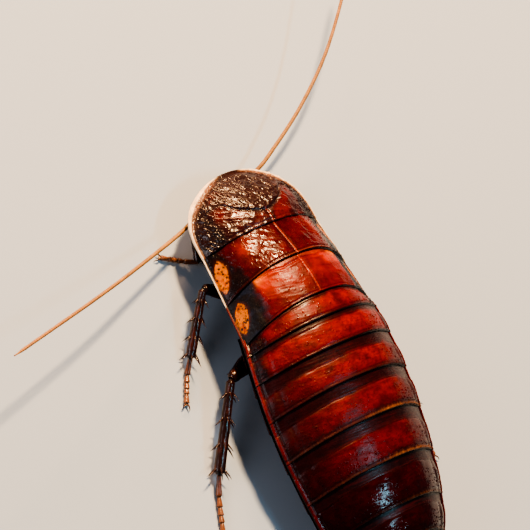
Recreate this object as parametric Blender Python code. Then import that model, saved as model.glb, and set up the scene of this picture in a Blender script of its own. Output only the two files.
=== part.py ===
"""Madagascar hissing cockroach, a life-size still model of a wingless female on its six feet.

The head points to -Y, the animal's left is +X and +Z is up. Sizes are written in millimetres and
turned into metres by mm(). Lengths along the trunk are measured from the pronotum's front edge.
"""

import math

import bmesh
import bpy
from mathutils import Matrix, Vector

GAP = 0.3  # air between two touching pieces
EDGE = 0.8  # thickness of a plate at its free margin
COLUMNS = 14  # faces across a plate
PLATE_RISE = 0.22  # how far a plate's hind edge stands over the next plate

# Dorsal plates: name, hind edge on the midline, half width, crown, margin, sweep of the corners
PRONOTUM_LENGTH = 9.9
PLATES = (
    ("pronotum", PRONOTUM_LENGTH, 11.4, 10.7, 6.0, 1.3),
    ("mesonotum", 15.6, 12.0, 12.6, 7.1, 3.3),
    ("metanotum", 22.2, 12.5, 13.7, 7.9, 3.2),
    ("tergite_1", 25.7, 13.1, 14.2, 8.1, 1.2),
    ("tergite_2", 30.1, 13.6, 14.2, 7.9, 1.0),
    ("tergite_3", 35.4, 13.9, 13.9, 7.5, 1.4),
    ("tergite_4", 41.6, 13.7, 13.2, 7.0, 1.5),
    ("tergite_5", 48.3, 12.9, 12.2, 6.4, 1.4),
    ("tergite_6", 54.8, 11.6, 11.1, 5.7, 1.3),
    ("tergite_7", 59.8, 9.4, 9.7, 5.2, 1.4),
    ("tergite_8", 61.0, 8.0, 9.1, 5.1, 1.4),
)
SECTION_POWER = 2.1  # the trunk's arch, 2 being a parabola
SWEEP_POWER = 2.6  # how late a hind edge turns back towards its corner

# Pronotum, a shield whose front edge is an arc
SHIELD_FRONT_HALF_WIDTH = 8.4
SHIELD_FRONT_SAG = 2.85
SHIELD_FRONT_POWER = 2.2
SHIELD_SIDE_POWER = 3.5  # how soon the sides reach the full width
SHIELD_FRONT_CROWN = 5.2
SHIELD_FRONT_MARGIN = 4.9
SHIELD_THICKNESS = 0.9
SHIELD_THICKENING = 2.2

# Supra-anal plate, the lobe that ends the body
TAIL_LENGTH = 4.2
TAIL_HALF_WIDTH = 6.3
CERCUS = ((4.4, 61.8, 3.6), (5.8, 66.2, 3.8))
CERCUS_RINGS = ((0.0, 0.45, 0.4), (0.15, 0.7, 0.55), (0.5, 0.65, 0.55), (0.85, 0.42, 0.4), (1.0, 0.25, 0.25))

# Ventral plates: name, front edge, hind edge, share of the dorsal half width, belly height at each edge
STERNA = (
    ("prosternum", 8.4, 10.6, 0.5, 4.6, 4.8),
    ("mesosternum", 10.9, 16.9, 0.66, 4.9, 5.2),
    ("metasternum", 17.2, 23.6, 0.72, 5.2, 5.0),
    ("sternite_1", 23.9, 27.4, 0.93, 4.4, 3.4),
    ("sternite_2", 27.7, 32.0, 0.93, 3.4, 2.9),
    ("sternite_3", 32.3, 37.6, 0.93, 2.9, 2.7),
    ("sternite_4", 37.9, 43.8, 0.93, 2.7, 2.8),
    ("sternite_5", 44.1, 50.2, 0.93, 2.8, 3.1),
    ("sternite_6", 50.5, 56.0, 0.93, 3.1, 3.5),
    ("subgenital_plate", 56.3, 61.4, 0.92, 3.4, 3.3),
)

# Head: its long axis runs from the crown down and back to the mouth
HEAD_CROWN = Vector((0, 3.1, 5.8))
HEAD_MOUTH = Vector((0, 7.3, 1.6))
# share of the axis, half width, half thickness
HEAD_RINGS = (
    (0.00, 1.4, 0.8),
    (0.10, 2.5, 1.3),
    (0.28, 3.5, 1.8),
    (0.48, 3.5, 1.8),
    (0.66, 3.0, 1.6),
    (0.80, 2.2, 1.3),
    (0.92, 1.7, 1.0),
    (1.00, 1.1, 0.7),
)
EYE_AT = Vector((0, 4.05, 4.9))
EYE_RADII = (0.72, 1.3)  # across and along the eye
EYE_LEAN = math.radians(42)
EYE_BULGE = 0.75

# Antennae: route from the socket, with the thickness at the base and the tip
ANTENNA_RADIUS = (0.42, 0.26)
ANTENNAE = {
    "antenna_left": (
        (2.1, 2.5, 2.9), (4.2, 2.1, 3.1), (7.0, 3.8, 3.4), (10.2, 5.6, 3.7),
        (20.0, 8.2, 5.4), (31.6, 10.9, 7.6), (49.9, 14.7, 9.8),
    ),
    "antenna_right": (
        (-2.1, 2.5, 2.9), (-4.0, 1.6, 3.1), (-6.8, 0.9, 3.5), (-10.4, -0.9, 4.0),
        (-18.4, -6.0, 5.6), (-27.0, -13.4, 7.6), (-38.6, -26.4, 9.6),
    ),
}
ANTENNA_POINTS = 25

# Maxillary palps, the jointed feelers beside the mouth
PALP_RADIUS = (0.3, 0.26)
PALP_ROUTE = ((2.5, 6.5, 1.5), (3.1, 5.6, 1.2), (3.0, 4.4, 0.9), (2.4, 3.4, 0.8))
PALP_POINTS = 8

# Legs: coxa root, femur base, knee, ankle and toe of each
LEGS = {
    "fore_left": (
        (4.2, 7.6, 3.3), (3.0, 11.8, 2.6), (7.8, 5.6, 2.3),
        (8.5, 10.6, 1.3), (13.9, 7.9, 0.0),
    ),
    "fore_right": (
        (-4.2, 7.6, 3.3), (-3.0, 11.8, 2.6), (-8.0, 5.4, 2.3),
        (-9.6, 10.6, 1.3), (-14.6, 7.4, 0.0),
    ),
    "mid_left": (
        (6.6, 12.8, 3.7), (3.0, 18.4, 2.8), (12.4, 14.8, 4.7),
        (17.2, 23.2, 1.4), (20.4, 29.0, 0.0),
    ),
    "mid_right": (
        (-6.6, 12.8, 3.7), (-3.0, 18.4, 2.8), (-12.0, 15.2, 4.6),
        (-15.4, 24.6, 1.4), (-17.2, 31.0, 0.0),
    ),
    "hind_left": (
        (7.0, 19.2, 3.7), (3.4, 25.2, 2.4), (14.2, 28.4, 4.3),
        (21.0, 40.2, 1.4), (24.0, 48.4, 0.0),
    ),
    "hind_right": (
        (-7.0, 19.2, 3.7), (-3.4, 25.2, 2.4), (-13.4, 29.2, 4.2),
        (-16.4, 42.4, 1.4), (-17.6, 50.6, 0.0),
    ),
}
LEG_SIZE = {"fore": 0.82, "mid": 0.95, "hind": 1.08}  # thickness of a leg's pieces
# share of the piece, half breadth, half depth
COXA_RINGS = ((0.0, 1.1, 0.6), (0.1, 1.7, 0.95), (0.4, 1.95, 1.1), (0.75, 1.45, 0.95), (1.0, 0.75, 0.6))
FEMUR_RINGS = (
    (0.0, 0.5, 0.5), (0.08, 0.8, 0.75), (0.35, 1.35, 0.95),
    (0.65, 1.25, 0.9), (0.9, 0.9, 0.75), (1.0, 0.55, 0.5),
)
TIBIA_RINGS = (
    (0.0, 0.45, 0.45), (0.07, 0.72, 0.66), (0.2, 0.62, 0.56), (0.3, 0.7, 0.62),
    (0.4, 0.66, 0.58), (0.5, 0.74, 0.66),
    (0.6, 0.68, 0.6), (0.7, 0.76, 0.68), (0.8, 0.7, 0.62), (0.93, 0.82, 0.74), (1.0, 0.6, 0.5),
)
TIBIA_SPINES = {"fore": (8,), "mid": (2, 4, 6, 8), "hind": (2, 4, 6, 8)}  # rings that bear a whorl of spines
SPINE_LENGTH = 1.7
TARSOMERES = (0.36, 0.17, 0.14, 0.12, 0.21)  # the five tarsal segments, as shares of the foot
TARSUS_HALF_WIDTH = 0.46
TARSUS_LIFT = 0.42  # the foot's axis above the ground
CLAW_REACH = 1.0

# Colours, linear RGB
MAHOGANY = (0.20, 0.012, 0.008)
DARK_CHITIN = (0.028, 0.008, 0.007)
LEG_CHITIN = (0.055, 0.014, 0.009)
BELLY_CHITIN = (0.16, 0.035, 0.015)
AMBER = (0.45, 0.16, 0.06)
EYE_BLACK = (0.01, 0.008, 0.008)


def mm(point):
    return Vector(point) * 0.001


def lerp(a, b, t):
    return a + (b - a) * t


def material(name, colour, roughness):
    made = bpy.data.materials.get(name)
    if made is None:
        made = bpy.data.materials.new(name)
        made.use_nodes = True
        shader = made.node_tree.nodes["Principled BSDF"]
        shader.inputs["Base Color"].default_value = (*colour, 1)
        shader.inputs["Roughness"].default_value = roughness
        shader.inputs["Metallic"].default_value = 0
    return made


def add_object(name, mesh_data, finish):
    """Links a finished bmesh as an object whose origin is the middle of its box."""
    bmesh.ops.recalc_face_normals(mesh_data, faces=mesh_data.faces)
    if mesh_data.calc_volume(signed=True) < 0:
        bmesh.ops.reverse_faces(mesh_data, faces=mesh_data.faces)
    low = Vector(min(v.co[i] for v in mesh_data.verts) for i in range(3))
    high = Vector(max(v.co[i] for v in mesh_data.verts) for i in range(3))
    centre = (low + high) / 2
    bmesh.ops.translate(mesh_data, verts=mesh_data.verts, vec=-centre)
    mesh = bpy.data.meshes.new(name)
    mesh_data.to_mesh(mesh)
    mesh_data.free()
    mesh.materials.append(finish)
    mesh.shade_smooth()
    mesh.set_sharp_from_angle(angle=math.radians(40))
    made = bpy.data.objects.new(name, mesh)
    made.location = centre
    bpy.context.scene.collection.objects.link(made)
    return made


def grid_solid(name, top, bottom, rows, finish, columns=COLUMNS):
    """A plate between two height fields. top and bottom take u from -1 to 1 and v from 0 to 1."""
    made = bmesh.new()

    def sheet(surface):
        return [
            [made.verts.new(mm(surface(2 * i / columns - 1, j / rows))) for i in range(columns + 1)]
            for j in range(rows + 1)
        ]

    upper, lower = sheet(top), sheet(bottom)
    for j in range(rows):
        for i in range(columns):
            made.faces.new((upper[j][i], upper[j][i + 1], upper[j + 1][i + 1], upper[j + 1][i]))
            made.faces.new((lower[j][i], lower[j + 1][i], lower[j + 1][i + 1], lower[j][i + 1]))
    for j in (0, rows):
        for i in range(columns):
            made.faces.new((upper[j][i], upper[j][i + 1], lower[j][i + 1], lower[j][i]))
    for i in (0, columns):
        for j in range(rows):
            made.faces.new((upper[j][i], upper[j + 1][i], lower[j + 1][i], lower[j][i]))
    return add_object(name, made, finish)


def ring_solid(start, end, rings, sides=8, size=1.0):
    """A bmesh lofted through elliptic rings (share, half breadth, half depth) from start to end."""
    start, end = Vector(start), Vector(end)
    along = (end - start).normalized()
    breadth = along.cross(Vector((0, 0, 1))).normalized()
    depth = breadth.cross(along)
    made = bmesh.new()
    loops = []
    for share, half_breadth, half_depth in rings:
        centre = start.lerp(end, share)
        loop = []
        for k in range(sides):
            angle = 2 * math.pi * (k + 0.5) / sides
            offset = breadth * math.cos(angle) * half_breadth + depth * math.sin(angle) * half_depth
            loop.append(made.verts.new(mm(centre + offset * size)))
        loops.append(loop)
    close_loft(made, loops)
    return made, loops


def close_loft(made, loops):
    """Faces between one ring of corners and the next, and a cap on each end."""
    sides = len(loops[0])
    for a, b in zip(loops, loops[1:]):
        for k in range(sides):
            made.faces.new((a[k], a[(k + 1) % sides], b[(k + 1) % sides], b[k]))
    made.faces.new(loops[0])
    made.faces.new(loops[-1])


def mitre(made, joint, before, after, side):
    """Presses a piece flat against the plane halfway between two pieces that meet at a joint."""
    normal = ((joint - before).normalized() + (after - joint).normalized()).normalized() * side
    for v in made.verts:
        over = (v.co * 1000 - joint).dot(normal) - GAP / 2
        if over < 0:
            v.co -= normal * over * 0.001


def trunk(y, column):
    """Half width (2), crown (3), margin (4) or sweep (5) at a length y, by a cubic through the plates."""
    stations = [(plate[1], plate[column]) for plate in PLATES]
    y = min(max(y, stations[0][0]), stations[-1][0])
    k = max(i for i in range(len(stations) - 1) if stations[i][0] <= y)
    before, after = max(k - 1, 0), min(k + 2, len(stations) - 1)
    (y0, a0), (y1, a1) = stations[k], stations[k + 1]
    slope0 = (a1 - stations[before][1]) / (y1 - stations[before][0])
    slope1 = (stations[after][1] - a0) / (stations[after][0] - y0)
    span = y1 - y0
    t = (y - y0) / span
    return (
        (2 * t**3 - 3 * t**2 + 1) * a0 + (t**3 - 2 * t**2 + t) * span * slope0
        + (3 * t**2 - 2 * t**3) * a1 + (t**3 - t**2) * span * slope1
    )


def arch(u):
    return 1 - abs(u) ** SECTION_POWER


def swept(y, sweep, u):
    return y + sweep * abs(u) ** SWEEP_POWER


def dorsal_plate(name, front, hind, finish):
    """A plate of the back from the row front = (y, sweep) to the row hind, proud at its hind edge."""

    def row(v):
        y = lerp(front[0] + GAP, hind[0], v)
        return y, lerp(front[1], hind[1], v), trunk(y, 2), trunk(y, 3), trunk(y, 4)

    def top(u, v):
        y, sweep, half_width, crown, margin = row(v)
        rise = PLATE_RISE * (2 * v - 1)
        return u * (half_width + rise), swept(y, sweep, u), lerp(margin, crown, arch(u)) + rise

    def bottom(u, v):
        x, y, z = top(u, v)
        return x, y, trunk(row(v)[0], 4) - EDGE

    return grid_solid(name, top, bottom, 3, finish)


def shield_top(u, v):
    """The pronotum's upper side, whose first row is the front edge."""
    length, half_width, crown, margin, sweep = PLATES[0][1:]
    rise = math.sin(v * math.pi / 2)
    x = u * lerp(SHIELD_FRONT_HALF_WIDTH, half_width, 1 - (1 - v) ** SHIELD_SIDE_POWER)
    y = length * v + lerp(SHIELD_FRONT_SAG, sweep, v) * abs(u) ** lerp(SHIELD_FRONT_POWER, SWEEP_POWER, v)
    edge = lerp(SHIELD_FRONT_MARGIN, margin, v)
    middle = lerp(SHIELD_FRONT_CROWN, crown, rise**0.9)
    return x, y, lerp(edge, middle, arch(u))


def shield_bottom(u, v):
    x, y, z = shield_top(u, v)
    return x, y, z - SHIELD_THICKNESS - SHIELD_THICKENING * v * arch(u)


def make_back():
    mahogany = material("mahogany_chitin", MAHOGANY, 0.3)
    dark = material("dark_chitin", DARK_CHITIN, 0.3)
    grid_solid("pronotum", shield_top, shield_bottom, 6, dark)
    for before, plate in zip(PLATES, PLATES[1:]):
        dorsal_plate(plate[0], (before[1], before[5]), (plate[1], plate[5]), mahogany)


def make_tail():
    """The supra-anal plate, a rounded lobe, and the two cerci beside it."""
    mahogany = material("mahogany_chitin", MAHOGANY, 0.3)
    dark = material("dark_chitin", DARK_CHITIN, 0.3)
    start, margin, crown, sweep = PLATES[-1][1], PLATES[-1][4], PLATES[-1][3], PLATES[-1][5]

    def top(u, v):
        half_width = TAIL_HALF_WIDTH * (1 - 0.42 * v**2)
        y = start + GAP + TAIL_LENGTH * v + lerp(sweep, -1.7, v) * abs(u) ** SWEEP_POWER
        middle = lerp(crown - 0.6, margin + 1.0, v**1.4)
        return u * half_width, y, lerp(margin + 0.2, middle, arch(u))

    def bottom(u, v):
        x, y, z = top(u, v)
        return x, y, margin + 0.2 - EDGE

    grid_solid("supra_anal_plate", top, bottom, 3, mahogany, columns=10)
    for side, sign in (("left", 1), ("right", -1)):
        root = (sign * CERCUS[0][0], *CERCUS[0][1:])
        tip = (sign * CERCUS[1][0], *CERCUS[1][1:])
        made, _ = ring_solid(root, tip, CERCUS_RINGS)
        add_object(f"cercus_{side}", made, dark)


def make_underside():
    belly = material("belly_chitin", BELLY_CHITIN, 0.35)
    for name, front, hind, share, belly_front, belly_hind in STERNA:

        def roof(u, v, front=front, hind=hind, share=share):
            y = lerp(front, hind, v)
            half_width = trunk(y, 2) * share
            margin = trunk(y, 4) - EDGE - GAP
            return u * half_width, y, margin

        def floor(u, v, roof=roof, belly_front=belly_front, belly_hind=belly_hind):
            x, y, z = roof(u, v)
            side = z - EDGE
            return x, y, lerp(side, lerp(belly_front, belly_hind, v), arch(u))

        grid_solid(name, roof, floor, 2, belly, columns=10)


def head_section(point):
    """Share along the head's axis, half width, half thickness and height over the axis at a point."""
    axis = HEAD_MOUTH - HEAD_CROWN
    share = min(max((point - HEAD_CROWN).dot(axis) / axis.length_squared, 0), 1)
    k = max(i for i in range(len(HEAD_RINGS) - 1) if HEAD_RINGS[i][0] <= share)
    (s0, w0, d0), (s1, w1, d1) = HEAD_RINGS[k], HEAD_RINGS[k + 1]
    t = (share - s0) / (s1 - s0)
    normal = Vector((1, 0, 0)).cross(axis.normalized())
    return share, lerp(w0, w1, t), lerp(d0, d1, t), (point - HEAD_CROWN).dot(normal)


def make_eye(side, sign, finish):
    """A kidney of facets that bulges from the side of the head, a gap away from it."""
    eye = bmesh.new()
    bmesh.ops.create_uvsphere(eye, u_segments=12, v_segments=8, radius=1)
    upright = Matrix.Rotation(math.radians(90), 3, "Y")
    lean = Matrix.Rotation(EYE_LEAN, 3, "X")
    for v in eye.verts:
        out, along, up = upright @ v.co
        point = EYE_AT + lean @ Vector((0, along * EYE_RADII[0], up * EYE_RADII[1]))
        share, half_width, half_depth, height = head_section(point)
        seat = (half_width + GAP) * math.sqrt(max(1 - (height / (half_depth + GAP)) ** 2, 0))
        v.co = mm((sign * (seat + max(out, 0) * EYE_BULGE), point.y, point.z))
    add_object(f"eye_{side}", eye, finish)


def make_head():
    dark = material("dark_chitin", DARK_CHITIN, 0.3)
    black = material("eye_black", EYE_BLACK, 0.12)
    made, _ = ring_solid(HEAD_CROWN, HEAD_MOUTH, HEAD_RINGS, 14)
    add_object("head", made, dark)
    for side, sign in (("left", 1), ("right", -1)):
        make_eye(side, sign, black)


def make_leg(name, joints):
    leg_finish = material("leg_chitin", LEG_CHITIN, 0.35)
    kind = name.split("_")[0]
    size = LEG_SIZE[kind]
    joints = [Vector(p) for p in joints]
    root, base, knee, ankle, toe = joints
    pieces = (("coxa", COXA_RINGS), ("femur", FEMUR_RINGS), ("tibia", TIBIA_RINGS))
    for i, (piece, rings) in enumerate(pieces):
        made, loops = ring_solid(joints[i], joints[i + 1], rings, 8, size)
        if i:
            mitre(made, joints[i], joints[i - 1], joints[i + 1], 1)
        mitre(made, joints[i + 1], joints[i], joints[i + 2], -1)
        if piece == "tibia":
            grow_spines(made, loops, TIBIA_SPINES[kind], (ankle - knee).normalized())
        add_object(f"{piece}_{name}", made, leg_finish)
    make_foot(name, knee, ankle, toe, size, leg_finish)


def grow_spines(made, loops, rings, along):
    """Draws three faces of each chosen ring out into slanting spines."""
    made.faces.ensure_lookup_table()
    for ring in rings:
        for side in (0, 3, 6 if ring % 4 else 5):
            a, b = loops[ring - 1], loops[ring]
            corners = {a[side], a[(side + 1) % 8], b[side], b[(side + 1) % 8]}
            face = next(f for f in a[side].link_faces if set(f.verts) == corners)
            normal = face.normal.copy() if face.normal.length else Vector((0, 0, 1))
            face.normal_update()
            normal = face.normal.copy()
            axis_point = sum((v.co for v in a + b), Vector()) / (2 * len(a))
            outward = face.calc_center_median() - axis_point
            if normal.dot(outward) < 0:
                normal.negate()
            tip = bmesh.ops.poke(made, faces=[face])["verts"][0]
            tip.co += (normal + along * 0.6).normalized() * SPINE_LENGTH * 0.001
            tip.co.z = max(tip.co.z, 0.0004)


def make_foot(name, knee, ankle, toe, size, finish):
    """The five-jointed tarsus with its two claws, flattened where it lies on the ground."""
    start = ankle
    landing = Vector((toe.x, toe.y, TARSUS_LIFT))
    rings = []
    reached = 0.0
    for length in TARSOMERES:
        rings += [(reached + 0.02, 0.68), (reached + length * 0.75, 1.0), (reached + length - 0.005, 0.8)]
        reached += length
    half = TARSUS_HALF_WIDTH * size**0.5
    bend = start.lerp(landing, TARSOMERES[0])
    bend.z = TARSUS_LIFT + 0.12
    made = bmesh.new()
    heading = Vector((toe.x - start.x, toe.y - start.y, 0)).normalized()
    across = heading.cross(Vector((0, 0, 1)))
    loops = []
    sides = 6
    for share, swell in rings:
        if share < TARSOMERES[0]:
            centre = start.lerp(bend, share / TARSOMERES[0])
        else:
            centre = bend.lerp(landing, (share - TARSOMERES[0]) / (1 - TARSOMERES[0]))
        loop = []
        for k in range(sides):
            angle = 2 * math.pi * k / sides
            spot = centre + (across * math.cos(angle) + Vector((0, 0, 1)) * math.sin(angle)) * half * swell
            if k in (4, 5):
                spot.z = max(spot.z, 0) if share < TARSOMERES[0] else 0
            loop.append(made.verts.new(mm(spot)))
        loops.append(loop)
    close_loft(made, loops)
    mitre(made, ankle, knee, toe, 1)
    for k in (0, 2):
        add_claw(made, loops, k, sides, heading, across * (1 if k == 0 else -1))
    add_object(f"tarsus_{name}", made, finish)


def add_claw(made, loops, k, sides, heading, outward):
    """Draws the upper side face of the last ring forward, out and down into a claw."""
    a, b = loops[-2], loops[-1]
    corners = {a[k], a[(k + 1) % sides], b[k], b[(k + 1) % sides]}
    face = next(f for f in a[k].link_faces if set(f.verts) == corners)
    tip = bmesh.ops.poke(made, faces=[face])["verts"][0]
    tip.co += mm(heading * CLAW_REACH + outward * 0.55)
    tip.co.z = 0.0002


def make_feelers():
    amber = material("amber_chitin", AMBER, 0.45)
    for name, route in ANTENNAE.items():
        feeler(name, route, ANTENNA_RADIUS, ANTENNA_POINTS, amber)
    for side, sign in (("left", 1), ("right", -1)):
        route = [(sign * x, y, z) for x, y, z in PALP_ROUTE]
        feeler(f"palp_{side}", route, PALP_RADIUS, PALP_POINTS, amber)


def feeler(name, route, radii, points, finish):
    """A round tapering feeler along a smooth route."""
    made = bmesh.new()
    loops = []
    for i in range(points):
        share = i / (points - 1)
        ahead, behind = along_route(route, min(share + 0.01, 1)), along_route(route, max(share - 0.01, 0))
        along = (ahead - behind).normalized()
        across = along.cross(Vector((0, 0, 1))).normalized()
        over = across.cross(along)
        radius = lerp(*radii, share)
        loop = []
        for k in range(8):
            angle = 2 * math.pi * k / 8
            spot = along_route(route, share) + (across * math.cos(angle) + over * math.sin(angle)) * radius
            loop.append(made.verts.new(mm(spot)))
        loops.append(loop)
    close_loft(made, loops)
    add_object(name, made, finish)


def along_route(route, share):
    """A point on the Catmull-Rom curve through route."""
    points = [Vector(p) for p in route]
    spans = len(points) - 1
    k = min(int(share * spans), spans - 1)
    t = share * spans - k
    p1, p2 = points[k], points[k + 1]
    p0 = points[k - 1] if k else p1 * 2 - p2
    p3 = points[k + 2] if k + 2 <= spans else p2 * 2 - p1
    return 0.5 * (
        2 * p1 + (p2 - p0) * t + (2 * p0 - 5 * p1 + 4 * p2 - p3) * t**2 + (3 * p1 - p0 - 3 * p2 + p3) * t**3
    )


def centre_on_floor():
    """Moves everything so that the middle of the whole footprint is the origin."""
    bpy.context.view_layer.update()
    graph = bpy.context.evaluated_depsgraph_get()
    made = [o for o in bpy.context.scene.objects if o.type in ("MESH", "CURVE")]
    corners = [o.matrix_world @ Vector(c) for o in made for c in o.evaluated_get(graph).bound_box]
    low = [min(c[i] for c in corners) for i in range(3)]
    high = [max(c[i] for c in corners) for i in range(3)]
    root = bpy.data.objects.new("cockroach", None)
    bpy.context.scene.collection.objects.link(root)
    for o in made:
        o.parent = root
    root.location = (-(low[0] + high[0]) / 2, -(low[1] + high[1]) / 2, -low[2])


def main():
    for old in list(bpy.data.objects):
        bpy.data.objects.remove(old)
    make_back()
    make_tail()
    make_underside()
    make_head()
    make_feelers()
    for name, joints in LEGS.items():
        make_leg(name, joints)
    centre_on_floor()


main()
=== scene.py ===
"""Looks for the Madagascar hissing cockroach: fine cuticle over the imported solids, studio and camera.

Shapes are worked out in millimetres in the body's own frame (the head points to -Y, the animal's left
is +X, Y is measured from the pronotum's front edge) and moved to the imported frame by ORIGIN.
"""

import math

import bpy
import numpy as np
from mathutils import Matrix, Vector


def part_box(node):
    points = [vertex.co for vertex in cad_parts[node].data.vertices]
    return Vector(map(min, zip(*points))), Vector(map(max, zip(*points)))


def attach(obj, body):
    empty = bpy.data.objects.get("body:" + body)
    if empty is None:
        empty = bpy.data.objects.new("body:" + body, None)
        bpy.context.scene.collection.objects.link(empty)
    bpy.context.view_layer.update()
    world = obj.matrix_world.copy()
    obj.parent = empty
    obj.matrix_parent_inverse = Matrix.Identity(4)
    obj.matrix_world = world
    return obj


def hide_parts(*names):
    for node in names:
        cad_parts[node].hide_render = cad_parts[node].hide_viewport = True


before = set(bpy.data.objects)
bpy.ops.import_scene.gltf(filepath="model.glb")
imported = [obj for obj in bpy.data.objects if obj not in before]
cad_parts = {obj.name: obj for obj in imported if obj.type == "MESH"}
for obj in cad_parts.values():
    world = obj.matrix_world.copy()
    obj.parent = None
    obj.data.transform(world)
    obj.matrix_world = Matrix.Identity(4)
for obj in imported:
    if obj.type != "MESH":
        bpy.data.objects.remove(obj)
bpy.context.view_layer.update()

SHIELD_LOW, SHIELD_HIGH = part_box("pronotum")
ORIGIN = np.array([(SHIELD_LOW[0] + SHIELD_HIGH[0]) / 2, SHIELD_LOW[1], 0.0])

# Hind edges of the back plates: y on the midline, half width, crown, margin, sweep of the corners
PLATES = (
    ("pronotum", 9.9, 11.4, 10.7, 6.0, 1.3),
    ("mesonotum", 15.6, 12.0, 12.6, 7.1, 3.3),
    ("metanotum", 22.2, 12.5, 13.7, 7.9, 3.2),
    ("tergite_1", 25.7, 13.1, 14.2, 8.1, 1.2),
    ("tergite_2", 30.1, 13.6, 14.2, 7.9, 1.0),
    ("tergite_3", 35.4, 13.9, 13.9, 7.5, 1.4),
    ("tergite_4", 41.6, 13.7, 13.2, 7.0, 1.5),
    ("tergite_5", 48.3, 12.9, 12.2, 6.4, 1.4),
    ("tergite_6", 54.8, 11.6, 11.1, 5.7, 1.3),
    ("tergite_7", 59.8, 9.4, 9.7, 5.2, 1.4),
    ("tergite_8", 61.0, 8.0, 9.1, 5.1, 1.4),
)
SHIELD_END = PLATES[0][1]
PLATE_RISE = 0.22  # how far a plate's hind edge stands over the smooth back, and its front lies under it
OVERLAP = 1.0  # length of a plate under the plate before it
OVERHANG = 0.12
CORNER = 2.6  # power of |u| by which a plate's corners sweep back
SHELL = 0.34  # thickness of a plate at its free edges
STEP = 0.1  # spacing of the plates' mesh
COARSE = 4  # steps to one step of a plate's inner side
INNER_SHADE = (0.35, 0.3, 0.3, 1.0)
SIDES = (("left", 1), ("right", -1))

# Linear colours
RED = (0.20, 0.0100, 0.0085)
DEEP = (0.085, 0.0022, 0.0024)
BAND = (0.014, 0.0022, 0.0026)
BLACK = (0.0035, 0.0022, 0.0028)
BLACK_WITH_BLUE_SHEEN = (0.006, 0.0075, 0.019)
ORANGE = (0.45, 0.125, 0.0002)
RED_ORANGE = (0.46, 0.036, 0.004)
CREAM = (0.86, 0.66, 0.47)
AMBER = (0.22, 0.086, 0.036)
BROWN = (0.025, 0.0048, 0.0036)
UMBER = (0.095, 0.020, 0.010)
BELLY = (0.15, 0.040, 0.018)
LEG = (0.019, 0.0052, 0.0038)
TAN = (0.36, 0.175, 0.062)
BRISTLE = (0.30, 0.14, 0.07)


# Small vectorised helpers


def clamp(x, low=0.0, high=1.0):
    return np.minimum(np.maximum(x, low), high)


def smooth(x, low, high):
    """0 below low, 1 above high (or the other way round), with a soft S between."""
    t = clamp((x - low) / (high - low))
    return t * t * (3 - 2 * t)


def line(x, at, width):
    """A soft bump of height 1 at x = at."""
    return np.exp(-(((x - at) / width) ** 2))


def hill(x, at_x, width, y, at_y, length):
    """A soft round bump of height 1 at (at_x, at_y)."""
    return line(x, at_x, width) * line(y, at_y, length)


def lerp(a, b, t):
    return a + (b - a) * t


def unit(v):
    return v / np.linalg.norm(v, axis=-1, keepdims=True)


def cell(ix, iy, seed):
    """A value from 0 to 1 that a cell of a grid always has."""
    n = (ix * 374761393 + iy * 668265263 + seed * 2147483647) & 0xFFFFFFFF
    n = ((n ^ (n >> 13)) * 1274126177) & 0xFFFFFFFF
    return ((n ^ (n >> 16)) & 0xFFFFFF) / 0xFFFFFF


def noise(x, y, seed=0):
    """Smooth noise from -1 to 1 with features about one unit across."""
    xi, yi = np.floor(x).astype(np.int64), np.floor(y).astype(np.int64)
    fx, fy = x - xi, y - yi
    fx, fy = fx * fx * (3 - 2 * fx), fy * fy * (3 - 2 * fy)
    low = lerp(cell(xi, yi, seed), cell(xi + 1, yi, seed), fx)
    high = lerp(cell(xi, yi + 1, seed), cell(xi + 1, yi + 1, seed), fx)
    return lerp(low, high, fy) * 2 - 1


def layered(x, y, seed, octaves, shift, fade, crest):
    """Noise in octaves, each twice as fine as the last and fainter by fade, shaped by crest."""
    weights = [fade**k for k in range(octaves)]
    layers = (noise(x * 2**k + shift[0] * k, y * 2**k + shift[1] * k, seed + k) for k in range(octaves))
    return sum(crest(layer) * weight for layer, weight in zip(layers, weights)) / sum(weights)


def fbm(x, y, seed=0, octaves=3):
    """Cloudy noise from -1 to 1."""
    return layered(x, y, seed, octaves, (17.3, -9.1), 0.5, lambda n: n)


def ridges(x, y, seed=0, octaves=3):
    """Sharp-crested wrinkles from 0 to 1."""
    return layered(x, y, seed, octaves, (5.7, 0), 0.55, lambda n: (1 - np.abs(n)) ** 3)


def rgba(colour, gloss=0.3):
    """A tint: a colour, with the surface's roughness as its alpha."""
    return np.array([*colour, gloss])


def paint(colour, target, amount):
    """Mixes target into the colour field by amount."""
    colour[..., :3] = lerp(colour[..., :3], np.array(target), np.asarray(amount)[..., None])


def eased(count, power):
    """Values from -1 to 1 that lie closer together near the ends."""
    u = np.linspace(-1, 1, count)
    return np.sign(u) * np.abs(u) ** power


def around(shares, sides):
    """The share and the angle of each point of a tube's grid."""
    return np.meshgrid(shares, np.linspace(0, 2 * np.pi, sides, endpoint=False), indexing="ij")


# The trunk's shape


def stations(column):
    """A column of PLATES as a fine table over y, by a cubic through the plates' hind edges."""
    ys, vs = (np.array([plate[i] for plate in PLATES]) for i in (1, column))
    here = np.arange(len(ys))
    before, after = np.maximum(here - 1, 0), np.minimum(here + 1, len(ys) - 1)
    slope = (vs[after] - vs[before]) / (ys[after] - ys[before])
    grid = np.linspace(ys[0], ys[-1], 1025)
    k = np.clip(np.searchsorted(ys, grid, side="right") - 1, 0, len(ys) - 2)
    span = ys[k + 1] - ys[k]
    t = (grid - ys[k]) / span
    value = (2 * t**3 - 3 * t**2 + 1) * vs[k] + (3 * t**2 - 2 * t**3) * vs[k + 1]
    return grid, value + span * ((t**3 - 2 * t**2 + t) * slope[k] + (t**3 - t**2) * slope[k + 1])


TABLES = {name: stations(column) for name, column in (("width", 2), ("crown", 3), ("margin", 4))}
SWEEPS = (np.array([p[1] for p in PLATES]), np.array([p[5] for p in PLATES]))


def trunk(y, name):
    return np.interp(y, *TABLES[name])


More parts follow.
